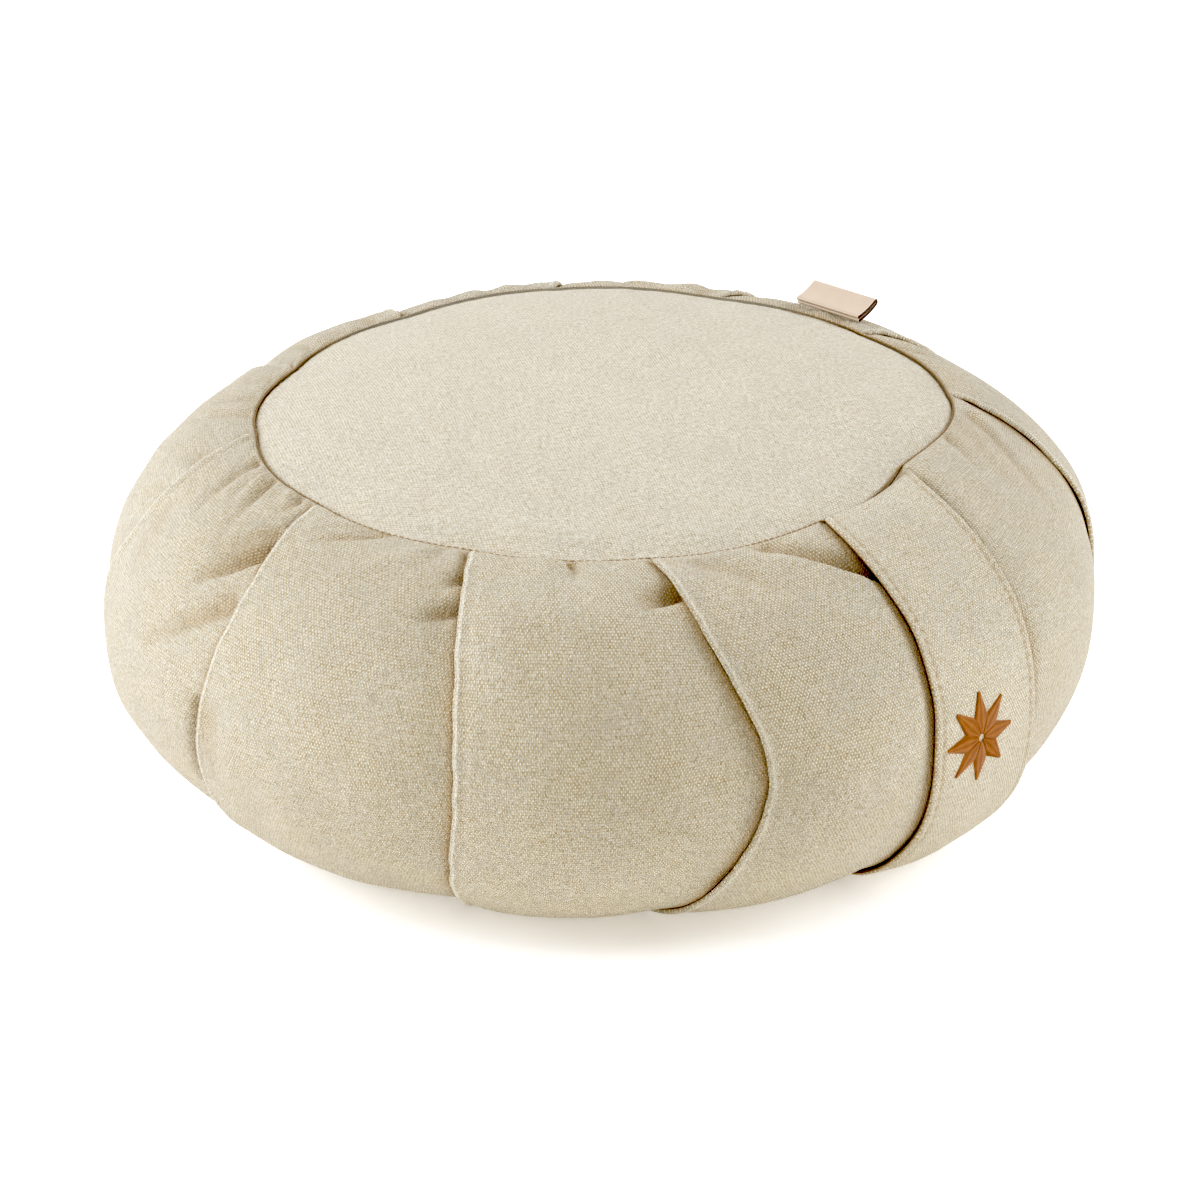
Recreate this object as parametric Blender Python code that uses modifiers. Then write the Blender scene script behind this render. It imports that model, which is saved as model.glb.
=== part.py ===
"""Zafu meditation cushion.  Metres, +Z up.

A round canvas cushion, filled.  One long side band is laid in knife pleats and
sewn to a round top panel and a round base panel.  A wide flat carry strap of
doubled canvas runs down the side from seam to seam, and a small folded leather
tab is caught in the top seam at the back.

The origin is under the middle of the base panel.  The front faces -Y.  An
azimuth is in degrees, from the front (-Y) towards the right (+X).  A height on
the side band is a share: 0 at the base seam, 1 at the top seam.
"""
import math
from bisect import bisect_right
from collections import namedtuple

import bmesh
import bpy

# Driving dimensions of the filled cushion.
EQUATOR_RADIUS = 0.1770       # side band at its widest, between the folds
TOP_SEAM_HEIGHT = 0.1280
BASE_SEAM_RADIUS = 0.1260
SIDE_ROUNDNESS = 1.25         # how softly the side leaves the seams
FOOT_ROUNDNESS = 0.16         # it is drawn in more towards the base seam
EQUATOR_LIFT = 0.0035         # the widest line lies higher than halfway,
EQUATOR_TILT = 0.0075         # and rises towards the right
SEAM_SCALLOP = 0.0016         # the seams bow out between two pleats
SEAM_CREASE = 0.0020          # depth of the valley at the top seam
AXIS_X = 0.0010               # the seams' common axis, off the middle of the whole,
AXIS_Y = 0.0051               # because the filling sags forwards

# Panels, cloth and clearances.
CROWN_RISE = 0.0140           # middle of the top panel over its seam
CROWN_FULLNESS = 2.5
EDGE_ROLL = 0.0025            # the top panel's edge rolls down into the seam
PANEL_THICKNESS = 0.0020      # canvas with its seam allowance and the filling's grain
FOLD_THICKNESS = 0.0017       # doubled canvas at the edge of a pleat
FOLD_LAP = 0.0026             # how far a pleat lies over its neighbour
FOLD_SINK = 0.0017            # the lower cloth dips under the pleat
CLEARANCE = 0.0004            # between two pieces that touch
RIM_CLEARANCE = 0.0007        # between the top panel's edge and the side band
BASE_RIM_CLEARANCE = 0.0008   # between the base panel's edge and the side band
SOLE_INSET = 0.0002           # the filling's flat underside ends inside the base seam
SEAM_RELEASE = 0.22           # share of the height over which a pleat opens
FLOOR_RELEASE = 0.20          # the same at the base, where the floor presses it flat

# Carry strap.
STRAP_WIDTH = 0.0515
STRAP_THICKNESS = 0.0028
STRAP_FOOT = 0.030            # share of the height at its lower end
STRAP_HEAD = 0.985            # and at its upper end
BED_MARGIN = 0.7              # degrees that the bed reaches past the strap's edges
BED_SHOULDER = 3.0            # degrees over which it rises again

# Leather tab.
TAB_WIDTH = 0.0295
TAB_LENGTH = 0.0120
TAB_LEATHER = 0.0011
TAB_FOLD_GAP = 0.0005
TAB_AZIMUTH = 138.0
TAB_TILT = 21.0               # degrees up from level

# The twelve pleats: azimuth of each fold's edge at five heights, how far the
# fold stands over the panel on its left, the top seam's radius there, how far
# the side reaches past the equator's radius, and how far the panel on its
# right swells.
FOLD_HEIGHTS = (0.0, 0.27, 0.50, 0.76, 1.0)
Pleat = namedtuple("Pleat", "name base low middle high top step seam reach swell")
PLEATS = (
    Pleat("left", -84.0, -85.0, -84.5, -77.6, -82.5, 0.0026, 0.1230, 0.0000, 0.0022),
    Pleat("left_front", -52.0, -50.6, -50.2, -48.2, -52.0, 0.0025, 0.1228, 0.0006, 0.0030),
    Pleat("front_left", -19.0, -18.0, -15.9, -17.6, -21.6, 0.0022, 0.1214, 0.0006, 0.0046),
    Pleat("front_right", 4.0, 12.5, 17.5, 12.6, 7.0, 0.0045, 0.1206, 0.0008, 0.0030),
    Pleat("strap_left", 40.0, 40.5, 40.5, 41.0, 39.5, 0.0006, 0.1160, 0.0006, -0.0006),
    Pleat("strap_right", 53.0, 51.5, 50.5, 54.5, 66.0, 0.0006, 0.1120, 0.0010, 0.0030),
    Pleat("right", 92.0, 90.0, 88.0, 90.5, 99.5, 0.0036, 0.1255, -0.0030, 0.0006),
    Pleat("right_back", 125.0, 124.0, 124.5, 126.0, 129.0, 0.0028, 0.1236, -0.0060, 0.0024),
    Pleat("back_right", 155.0, 153.0, 153.5, 155.0, 159.0, 0.0026, 0.1208, -0.0074, 0.0016),
    Pleat("back", 185.0, 184.0, 183.0, 185.0, 188.5, 0.0020, 0.1195, -0.0078, 0.0004),
    Pleat("back_left", 215.0, 213.0, 212.5, 214.5, 218.5, 0.0024, 0.1195, -0.0082, 0.0024),
    Pleat("left_back", 246.0, 244.0, 243.5, 245.0, 248.5, 0.0026, 0.1205, -0.0078, 0.0030),
)

# The cloth's path across one panel, from the underside of its own fold to the
# valley under the next.  The share along the panel, the shift from there where
# the pleat is open and at the seam where it is sewn flat, how much of the
# fold's step the point keeps, and how far it lies below it.
Station = namedtuple("Station", "along shift sewn_shift step_share sink")
STATIONS = (
    Station(0.00, FOLD_LAP, 0.0005, 1.00, FOLD_THICKNESS),
    Station(0.00, 0.0003, 0.0013, 1.00, 0.85 * FOLD_THICKNESS),
    Station(0.00, 0.0000, 0.0021, 1.00, 0.40 * FOLD_THICKNESS),
    Station(0.00, 0.0010, 0.0030, 1.00, 0.0),
    Station(0.00, 0.0060, 0.0070, 0.95, 0.0),
    Station(0.20, 0.0, 0.0, 0.80, 0.0),
    Station(0.36, 0.0, 0.0, 0.64, 0.0),
    Station(0.52, 0.0, 0.0, 0.48, 0.0),
    Station(0.68, 0.0, 0.0, 0.32, 0.0),
    Station(0.84, 0.0, 0.0, 0.16, 0.0),
    Station(1.00, -0.0070, -0.0050, 0.04, 0.0),
    Station(1.00, -0.0015, -0.0012, 0.00, 0.6 * FOLD_SINK),
    Station(1.00, FOLD_LAP, -0.0004, 0.00, FOLD_SINK),
)
CROWN_SHARES = (0.991, 0.95, 0.84, 0.62, 0.34)
PANEL_SHARES = (1.0, 0.982, 0.945, 0.88, 0.74, 0.52, 0.26)
PANEL_COLUMNS = tuple(5.0 * k for k in range(72))
BAND_HEIGHTS = (0.0, 0.03, 0.07, 0.12, 0.18, 0.26, 0.34, 0.42, 0.50,
                0.58, 0.66, 0.74, 0.81, 0.87, 0.92, 0.96, 1.0)

# Soft folds in the side band that show from a step away: from one point to
# another, as azimuth and height, with a width and a depth.  A ridge has a
# negative depth.
Crease = namedtuple("Crease", "azimuth height to_azimuth to_height width depth")
CREASES = (
    Crease(-70.0, 0.86, -76.0, 0.52, 0.0060, 0.0014),
    Crease(-62.0, 0.97, -61.0, 0.80, 0.0050, 0.0015),
    Crease(-72.0, 0.28, -58.0, 0.22, 0.0180, 0.0030),
    Crease(-4.5, 0.98, -5.0, 0.90, 0.0050, 0.0016),
    Crease(11.0, 0.86, 8.0, 0.80, 0.0050, 0.0030),
    Crease(77.0, 0.97, 71.0, 0.84, 0.0060, 0.0018),
)
# The hollow beside the strap's upper end: it deepens from the seam towards the
# strap, over a lip that falls away from the seam.
Hollow = namedtuple("Hollow", "azimuth to_azimuth lip_height depth")
STRAP_HOLLOW = Hollow(azimuth=25.5, to_azimuth=39.5, lip_height=0.815, depth=0.0080)

# The strap: its middle line, how deep a bed it presses into the filling, and how
# far its face stands off the side band's general curve at its left edge, its
# middle and its right edge.
StrapRow = namedtuple("StrapRow", "height azimuth bed left middle right")
STRAP_ROWS = (
    StrapRow(0.00, 49.0, 0.0038, 0.0004, 0.0002, 0.0004),
    StrapRow(0.06, 48.8, 0.0032, 0.0013, 0.0009, 0.0013),
    StrapRow(0.14, 48.3, 0.0020, 0.0056, 0.0050, 0.0058),
    StrapRow(0.28, 47.4, 0.0018, 0.0060, 0.0048, 0.0050),
    StrapRow(0.40, 45.9, 0.0022, 0.0050, 0.0034, 0.0040),
    StrapRow(0.52, 45.3, 0.0026, 0.0044, 0.0020, 0.0032),
    StrapRow(0.66, 46.6, 0.0026, 0.0040, 0.0018, 0.0030),
    StrapRow(0.80, 48.1, 0.0026, 0.0036, 0.0017, 0.0029),
    StrapRow(0.93, 49.8, 0.0026, 0.0026, 0.0012, 0.0022),
    StrapRow(1.00, 53.0, 0.0036, 0.0006, 0.0002, 0.0008),
)

Point = namedtuple("Point", "radius height")


# Curves and small helpers.

def eased(value):
    """0 below 0, 1 above 1, and a soft S between."""
    share = min(max(value, 0.0), 1.0)
    return share * share * (3.0 - 2.0 * share)


def curve_through(knots, values, x):
    """A smooth curve through the values at the knots, level beyond the ends."""
    last = len(knots) - 1
    x = min(max(x, knots[0]), knots[last])
    k = min(max(bisect_right(knots, x) - 1, 0), last - 1)

    def slope(at):
        low, high = max(at - 1, 0), min(at + 1, last)
        return (values[high] - values[low]) / (knots[high] - knots[low])

    width = knots[k + 1] - knots[k]
    s = (x - knots[k]) / width
    rise = values[k + 1] - values[k]
    start, end = slope(k) * width, slope(k + 1) * width
    return values[k] + s * (start + s * (3.0 * rise - 2.0 * start - end
                                         + s * (start + end - 2.0 * rise)))


def place(azimuth, radius, height):
    """The point at an azimuth and a radius about the seams' axis, over the floor."""
    angle = math.radians(azimuth)
    return (AXIS_X + radius * math.sin(angle), AXIS_Y - radius * math.cos(angle), height)


def arc_degrees(length, radius):
    return math.degrees(length / radius)


# The pleats and the seams.

def pleat_at(index):
    """A pleat by its number, counted on round the cushion, and its turn in degrees."""
    return PLEATS[index % len(PLEATS)], 360.0 * (index // len(PLEATS))


def fold_azimuth(index, height):
    pleat, turn = pleat_at(index)
    azimuths = (pleat.base, pleat.low, pleat.middle, pleat.high, pleat.top)
    return turn + curve_through(FOLD_HEIGHTS, azimuths, height)


def panel_share(azimuth, height):
    """The panel that an azimuth falls in at a height, and the share along it."""
    first = fold_azimuth(0, height)
    azimuth = first + (azimuth - first) % 360.0
    for index in range(len(PLEATS)):
        start, end = fold_azimuth(index, height), fold_azimuth(index + 1, height)
        if azimuth <= end:
            return index, (azimuth - start) / (end - start)
    return len(PLEATS) - 1, 1.0


def top_seam_radius(azimuth):
    index, share = panel_share(azimuth, 1.0)
    here, there = pleat_at(index)[0].seam, pleat_at(index + 1)[0].seam
    between = here + (there - here) * eased(share)
    return between + SEAM_SCALLOP * math.sin(math.pi * share)


def side_reach(azimuth):
    """How far the side reaches past the equator's radius, from pleat to pleat."""
    index, share = panel_share(azimuth, 0.5)
    here, there = pleat_at(index)[0].reach, pleat_at(index + 1)[0].reach
    return here + (there - here) * eased(share)


def base_seam_radius(azimuth):
    share = panel_share(azimuth, 0.0)[1]
    return BASE_SEAM_RADIUS + SEAM_SCALLOP * math.sin(math.pi * share)


# The side band.

def band_profile(azimuth, height):
    """The side band's general curve, before pleats and swelling."""
    base, top = base_seam_radius(azimuth), top_seam_radius(azimuth)
    turn = math.pi * height
    reach = EQUATOR_RADIUS + side_reach(azimuth) - 0.5 * (base + top)
    roundness = SIDE_ROUNDNESS + FOOT_ROUNDNESS * eased(1.0 - 2.0 * height)
    radius = base + (top - base) * height + reach * math.sin(turn) ** roundness
    foot = PANEL_THICKNESS - RIM_CLEARANCE
    level = foot + (TOP_SEAM_HEIGHT - foot) * 0.5 * (1.0 - math.cos(turn))
    lift = EQUATOR_LIFT + EQUATOR_TILT * math.sin(math.radians(azimuth))
    return Point(radius, level + lift * math.sin(turn) ** 4)


def band_normal(azimuth, height):
    """The outward direction of the general curve, as radius and height."""
    step = 0.004
    low = band_profile(azimuth, max(height - step, 0.0))
    high = band_profile(azimuth, min(height + step, 1.0))
    across, up = high.radius - low.radius, high.height - low.height
    length = math.hypot(across, up)
    return Point(up / length, -across / length)


def pleat_opening(height):
    """0 where the pleats are sewn flat at the seams, 1 where they are open."""
    return eased(height / FLOOR_RELEASE) * eased((1.0 - height) / SEAM_RELEASE)


def swelling(height):
    """How full the panels are: most at the middle, none at the seams."""
    return math.sin(math.pi * height) ** 1.1


def crease_depth(azimuth, height):
    """How deep the soft folds lie at a point of the side band."""
    mean_radius = 0.5 * (EQUATOR_RADIUS + BASE_SEAM_RADIUS)
    side_length = 1.5 * TOP_SEAM_HEIGHT
    depth = 0.0
    for crease in CREASES:
        turn = (azimuth - crease.azimuth + 180.0) % 360.0 - 180.0
        x = math.radians(turn) * mean_radius
        y = (height - crease.height) * side_length
        run_x = math.radians(crease.to_azimuth - crease.azimuth) * mean_radius
        run_y = (crease.to_height - crease.height) * side_length
        length = math.hypot(run_x, run_y)
        along = (x * run_x + y * run_y) / length
        across = (x * run_y - y * run_x) / length
        beyond = max(-along, along - length, 0.0)
        depth += crease.depth * math.exp(-(across ** 2 + beyond ** 2) / crease.width ** 2)
    return depth


def hollow_depth(azimuth, height):
    """The hollow between the top seam and the lip beside the strap."""
    hollow = STRAP_HOLLOW
    width = hollow.to_azimuth - hollow.azimuth
    share = (azimuth - hollow.azimuth) / width
    if share <= 0.0 or share >= 1.3:
        return 0.0
    lip = 1.0 - (1.0 - hollow.lip_height) * min(share, 1.0)
    if height <= lip:
        return 0.0
    up = (height - lip) / (1.0 - lip)
    fade = eased((1.3 - share) / 0.3)
    return hollow.depth * min(share, 1.0) * fade * math.sin(math.pi * up) ** 0.5


def strap_value(column, height):
    """A column of the strap's table at any height."""
    heights = [row.height for row in STRAP_ROWS]
    return curve_through(heights, [getattr(row, column) for row in STRAP_ROWS], height)


def strap_bed_depth(azimuth, height):
    """How far the strap presses the side band in."""
    half = arc_degrees(0.5 * STRAP_WIDTH, band_profile(azimuth, height).radius)
    inside = half - abs(azimuth - strap_value("azimuth", height))
    return strap_value("bed", height) * eased(1.0 + (inside + BED_MARGIN) / BED_SHOULDER)


def band_point(azimuth, height, stand):
    """A point of the side band that stands this far off its general curve."""
    profile = band_profile(azimuth, height)
    normal = band_normal(azimuth, height)
    seam = eased(1.0 - (1.0 - height) / 0.03)
    stand -= crease_depth(azimuth, height) * swelling(height)
    stand -= hollow_depth(azimuth, height)
    stand -= strap_bed_depth(azimuth, height)
    return place(azimuth, profile.radius + stand * normal.radius,
                 profile.height + stand * normal.height - SEAM_CREASE * seam)


def band_columns(height):
    """The cloth's path round the cushion at one height, as azimuths and stands."""
    opening, fullness = pleat_opening(height), swelling(height)
    path = []
    for index, pleat in enumerate(PLEATS):
        start, end = fold_azimuth(index, height), fold_azimuth(index + 1, height)
        for station in STATIONS:
            shift = station.sewn_shift + (station.shift - station.sewn_shift) * opening
            azimuth = start + (end - start) * station.along
            azimuth += arc_degrees(shift, band_profile(azimuth, height).radius)
            stand = opening * (pleat.step * station.step_share - station.sink)
            stand += fullness * pleat.swell * math.sin(math.pi * station.along)
            path.append((azimuth, stand))
    return path


# The top panel.

def top_panel_height(share):
    """The upper face of the top panel, from its middle (0) to its seam (1)."""
    crown = CROWN_RISE * (1.0 - share ** CROWN_FULLNESS)
    return TOP_SEAM_HEIGHT + crown - EDGE_ROLL * eased((share - 0.90) / 0.10)


def crown_height(share):
    """The filling's crown, clear of the top panel, whose edge slopes."""
    slope = 0.2 + 0.25 * eased((share - 0.85) / 0.10)
    return top_panel_height(share) - (1.0 + slope) * PANEL_THICKNESS - CLEARANCE


def crown_ring(columns, share):
    """The crown's points at one share of the way out to the seam."""
    height = crown_height(share)
    return [place(azimuth, share * top_seam_radius(azimuth), height) for azimuth in columns]


# Meshes.

def add_ring(bm, points):
    return [bm.verts.new(point) for point in points]


def bridge(bm, low, high):
    """Faces between two rings of the same count, low one first."""
    count = len(low)
    for k in range(count):
        after = (k + 1) % count
        bm.faces.new((low[k], low[after], high[after], high[k]))


def close_ring(bm, ring, middle, upward):
    """A fan from a ring to its middle point."""
    centre = bm.verts.new(middle)
    count = len(ring)
    for k in range(count):
        pair = (ring[k], ring[(k + 1) % count])
        bm.faces.new((pair[0], pair[1], centre) if upward else (pair[1], pair[0], centre))


def object_from(bm, name, collection, material, smooth_angle=40.0):
    bmesh.ops.triangulate(bm, faces=bm.faces, quad_method="SHORT_EDGE")
    mesh = bpy.data.meshes.new(name)
    bm.to_mesh(mesh)
    bm.free()
    mesh.shade_smooth()
    mesh.set_sharp_from_angle(angle=math.radians(smooth_angle))
    mesh.materials.append(material)
    part = bpy.data.objects.new(name, mesh)
    collection.objects.link(part)
    return part


def thicken(part, thickness):
    """Give an open sheet its thickness, inwards from its outer face."""
    solid = part.modifiers.new("thickness", "SOLIDIFY")
    solid.thickness = thickness
    solid.offset = -1.0
    solid.use_even_offset = True
    return part


def make_material(name, colour, roughness):
    material = bpy.data.materials.new(name)
    material.use_nodes = True
    shader = material.node_tree.nodes["Principled BSDF"]
    shader.inputs["Base Color"].default_value = (*colour, 1.0)
    shader.inputs["Roughness"].default_value = roughness
    shader.inputs["Metallic"].default_value = 0.0
    return material


def make_pleated_body(collection, material):
    """The filled side band with its crown and its flat underside, one solid."""
    bm = bmesh.new()
    rings = []
    for height in BAND_HEIGHTS:
        points = [band_point(a, height, stand) for a, stand in band_columns(height)]
        rings.append(add_ring(bm, points))
    for low, high in zip(rings, rings[1:]):
        bridge(bm, low, high)

    columns = [azimuth for azimuth, stand in band_columns(1.0)]
    below = rings[-1]
    for share in CROWN_SHARES:
        above = add_ring(bm, crown_ring(columns, share))
        bridge(bm, below, above)
        below = above
    close_ring(bm, below, place(0.0, 0.0, crown_height(0.0)), upward=True)

    sole = PANEL_THICKNESS + CLEARANCE
    columns = [azimuth for azimuth, stand in band_columns(0.0)]
    inner = [place(a, base_seam_radius(a) - SOLE_INSET, sole) for a in columns]
    sole_ring = add_ring(bm, inner)
    bridge(bm, sole_ring, rings[0])
    close_ring(bm, sole_ring, place(0.0, 0.0, sole), upward=False)
    return object_from(bm, "pleated_body", collection, material)


def make_top_panel(collection, material):
    """The crowned round sheet on top, its edge rolled down to the seam."""
    bm = bmesh.new()
    below = None
    for share in PANEL_SHARES:
        points = []
        for azimuth in PANEL_COLUMNS:
            radius = share * (top_seam_radius(azimuth) - RIM_CLEARANCE)
            points.append(place(azimuth, radius, top_panel_height(share)))
        ring = add_ring(bm, points)
        if below:
            bridge(bm, below, ring)
        below = ring
    close_ring(bm, below, place(0.0, 0.0, top_panel_height(0.0)), upward=True)
    return thicken(object_from(bm, "top_panel", collection, material), PANEL_THICKNESS)


def make_base_panel(collection, material):
    """The flat round sheet that the cushion rests on."""
    bm = bmesh.new()
    points = []
    for azimuth in PANEL_COLUMNS:
        radius = base_seam_radius(azimuth) - BASE_RIM_CLEARANCE
        points.append(place(azimuth, radius, PANEL_THICKNESS))
    ring = add_ring(bm, points)
    close_ring(bm, ring, place(0.0, 0.0, PANEL_THICKNESS), upward=True)
    return thicken(object_from(bm, "base_panel", collection, material), PANEL_THICKNESS)


def strap_point(across, height):
    """A point of the strap's outer face.  Across runs from -1 (left) to 1."""
    middle = strap_value("azimuth", height)
    centre = strap_value("middle", height)
    edge = strap_value("left" if across < 0.0 else "right", height)
    stand = centre + (edge - centre) * across ** 2
    radius = band_profile(middle, height).radius
    azimuth = middle + arc_degrees(0.5 * STRAP_WIDTH * across, radius + stand)
    profile = band_profile(middle, height)
    normal = band_normal(middle, height)
    return place(azimuth, profile.radius + stand * normal.radius,
                 profile.height + stand * normal.height)


def make_carry_strap(collection, material):
    """The doubled canvas strap, from the base seam to the top seam."""
    rows, columns = 22, 8
    bm = bmesh.new()
    below = None
    for row in range(rows + 1):
        height = STRAP_FOOT + (STRAP_HEAD - STRAP_FOOT) * row / rows
        points = [strap_point(-1.0 + 2.0 * k / columns, height) for k in range(columns + 1)]
        line = add_ring(bm, points)
        if below:
            for k in range(columns):
                bm.faces.new((below[k], below[k + 1], line[k + 1], line[k]))
        below = line
    return thicken(object_from(bm, "carry_strap", collection, material), STRAP_THICKNESS)


def make_label_tab(collection, material):
    """The folded leather tab that stands out of the top seam at the back."""
    half_fold = 0.5 * TAB_FOLD_GAP + TAB_LEATHER
    turns = 6
    route = [(0.0, -half_fold)]
    straight = TAB_LENGTH - half_fold
    for k in range(turns + 1):
        angle = -0.5 * math.pi + math.pi * k / turns
        route.append((straight + half_fold * math.cos(angle), half_fold * math.sin(angle)))
    route.append((0.0, half_fold))

    tilt = math.radians(TAB_TILT)
    turn = math.radians(TAB_AZIMUTH)
    root = place(TAB_AZIMUTH, top_seam_radius(TAB_AZIMUTH) + 0.0020, TOP_SEAM_HEIGHT + 0.0015)
    bm = bmesh.new()
    below = None
    for out, up in route:
        reach = out * math.cos(tilt) - up * math.sin(tilt)
        lift = out * math.sin(tilt) + up * math.cos(tilt)
        line = []
        for side in (-0.5, -0.17, 0.17, 0.5):
            x = root[0] + reach * math.sin(turn) + side * TAB_WIDTH * math.cos(turn)
            y = root[1] - reach * math.cos(turn) + side * TAB_WIDTH * math.sin(turn)
            line.append(bm.verts.new((x, y, root[2] + lift)))
        if below:
            for k in range(len(line) - 1):
                bm.faces.new((below[k], below[k + 1], line[k + 1], line[k]))
        below = line
    return thicken(object_from(bm, "label_tab", collection, material), TAB_LEATHER)


def main():
    for old in list(bpy.data.objects):
        bpy.data.objects.remove(old, do_unlink=True)
    collection = bpy.data.collections.new("zafu_cushion")
    bpy.context.scene.collection.children.link(collection)

    band_canvas = make_material("band_canvas", (0.66, 0.58, 0.42), 0.92)
    panel_canvas = make_material("panel_canvas", (0.72, 0.66, 0.52), 0.92)
    base_canvas = make_material("base_canvas", (0.68, 0.61, 0.46), 0.92)
    strap_canvas = make_material("strap_canvas", (0.68, 0.61, 0.46), 0.90)
    pale_leather = make_material("pale_leather", (0.82, 0.68, 0.57), 0.60)

    make_pleated_body(collection, band_canvas)
    make_top_panel(collection, panel_canvas)
    make_base_panel(collection, base_canvas)
    make_carry_strap(collection, strap_canvas)
    make_label_tab(collection, pale_leather)


main()
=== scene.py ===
"""Zafu meditation cushion: its looks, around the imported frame.  Metres, +Z up.

The canvas side band with its twelve knife pleats, the two round panels, the
carry strap with its topstitching and embroidery, the stitches of the top seam
and the folded leather tab are modelled finely on the frame's own curves.

An azimuth is in degrees about the seams' axis, from the front (-Y) towards the
right (+X).  A height on the side band is a share: 0 at the base seam, 1 at the
top seam.  A stand is a distance off the band's general curve, outwards.
"""

import math
from collections import namedtuple

import bpy
import numpy as np
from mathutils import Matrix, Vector


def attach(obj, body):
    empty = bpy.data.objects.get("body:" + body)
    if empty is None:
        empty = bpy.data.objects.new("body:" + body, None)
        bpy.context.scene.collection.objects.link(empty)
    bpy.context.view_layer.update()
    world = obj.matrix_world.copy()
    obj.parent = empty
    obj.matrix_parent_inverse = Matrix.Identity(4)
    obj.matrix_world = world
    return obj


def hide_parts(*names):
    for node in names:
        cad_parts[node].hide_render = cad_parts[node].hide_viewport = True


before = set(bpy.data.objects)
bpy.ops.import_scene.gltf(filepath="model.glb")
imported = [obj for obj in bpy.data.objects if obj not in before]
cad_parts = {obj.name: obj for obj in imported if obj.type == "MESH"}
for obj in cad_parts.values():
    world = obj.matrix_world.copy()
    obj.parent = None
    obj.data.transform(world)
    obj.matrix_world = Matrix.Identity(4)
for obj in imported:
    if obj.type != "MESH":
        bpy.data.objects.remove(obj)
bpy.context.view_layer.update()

# Driving dimensions of the filled cushion, as in the frame.
EQUATOR_RADIUS = 0.1770
TOP_SEAM_HEIGHT = 0.1280
BASE_SEAM_RADIUS = 0.1260
SIDE_ROUNDNESS = 1.25
FOOT_ROUNDNESS = 0.16  # the side is drawn in more towards the base seam
EQUATOR_LIFT = 0.0035  # the widest line lies higher than halfway
EQUATOR_TILT = 0.0075  # and rises towards +X
SEAM_SCALLOP = 0.0016
AXIS_X = 0.0010
AXIS_Y = 0.0051
CROWN_RISE = 0.0140
CROWN_FULLNESS = 2.5
FOOT_HEIGHT = 0.0013  # the side band's lower edge over the floor
STEP_RELEASE = 0.22  # share of the height over which a pleat rises at the top seam
FLOOR_RELEASE = 0.20  # the same at the base, where the floor presses it flat

# The cloth at a fold and at a seam.
FOLD_ROLL = 0.00085  # radius of the cloth's turn at a fold's edge
FOLD_LAP = 0.0034  # how far a pleat lies over its neighbour
FOLD_GAP = 0.0004  # between a pleat's underside and its neighbour
FOLD_WOBBLE = 0.10  # degrees that a fold's edge strays from its curve
WOBBLE_SIZE = 0.014
SIDE_ABOUT = 0.2  # the side's length from seam to seam, roughly
FOLD_RELEASE = 0.035  # share of the height over which a fold opens from a seam
TUCK_WIDTH = 0.0038  # width of the neighbour's dip
EDGE_RIDGE, RIDGE_AT, RIDGE_WIDTH = 0.00035, 0.0013, 0.0010  # along a pressed edge
EDGE_HOLLOW, HOLLOW_AT, HOLLOW_WIDTH = 0.00021, 0.0042, 0.0018  # and beside it
SHOULDER = 0.0010  # the cloth rolls down into the top seam
BACK_OF_SEAM = 188.0  # azimuth of the middle of the top seam's shut part
SHUT_REACH = 62.0  # degrees that it reaches to either side
SHUT_RELEASE = 28.0  # degrees over which it opens
SHUT_DEPTH = 0.7  # share of the groove that is gone there
SHUT_SHADE = 0.75  # and of its painted shade
RIM_GAP = 0.00024  # between the top panel's edge and the side band
LUMP_DEPTH = 0.0005  # the filling's unevenness
LUMP_SIZE = 0.042
PUCKER_DEPTH = 0.0006  # the small gathers along the top seam
PUCKER_SIZE = 0.011
PUCKER_REACH = 0.011
BASE_THICKNESS = 0.0020
BASE_RIM_CLEARANCE = 0.0003
SHEET_THICKNESS = 0.0016

# The twelve pleats: azimuth of each fold's edge at five heights, how far the
# fold stands over the panel on its left, the top seam's radius there, how far
# the side reaches past the equator's radius, and how far the panel on its
# right swells.
FOLD_HEIGHTS = (0.0, 0.27, 0.50, 0.76, 1.0)
Pleat = namedtuple("Pleat", "name base low middle high top step seam reach swell")
PLEATS = (
    Pleat("left", -84.0, -85.0, -84.5, -77.6, -82.5, 0.0026, 0.1230, 0.0000, 0.0022),
    Pleat("left_front", -52.0, -50.6, -50.2, -48.2, -52.0, 0.0025, 0.1228, 0.0006, 0.0030),
    Pleat("front_left", -19.0, -18.0, -15.9, -17.6, -21.6, 0.0022, 0.1214, 0.0006, 0.0046),
    Pleat("front_right", 4.0, 12.5, 17.5, 12.6, 7.0, 0.0028, 0.1206, 0.0008, 0.0030),
    Pleat("strap_left", 40.0, 40.5, 40.5, 41.0, 39.5, 0.0006, 0.1160, 0.0006, -0.0006),
    Pleat("strap_right", 53.0, 51.5, 50.5, 54.5, 66.0, 0.0006, 0.1120, 0.0010, 0.0030),
    Pleat("right", 92.0, 90.0, 88.0, 90.5, 99.5, 0.0026, 0.1255, -0.0030, 0.0006),
    Pleat("right_back", 125.0, 124.0, 124.5, 126.0, 129.0, 0.0018, 0.1236, -0.0060, 0.0024),
    Pleat("back_right", 155.0, 153.0, 153.5, 155.0, 159.0, 0.0026, 0.1224, -0.0074, 0.0016),
    Pleat("back", 185.0, 184.0, 183.0, 185.0, 188.5, 0.0020, 0.1252, -0.0078, 0.0004),
    Pleat("back_left", 215.0, 213.0, 212.5, 214.5, 218.5, 0.0024, 0.1206, -0.0082, 0.0024),
    Pleat("left_back", 246.0, 244.0, 243.5, 245.0, 248.5, 0.0026, 0.1205, -0.0078, 0.0030),
)

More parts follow.
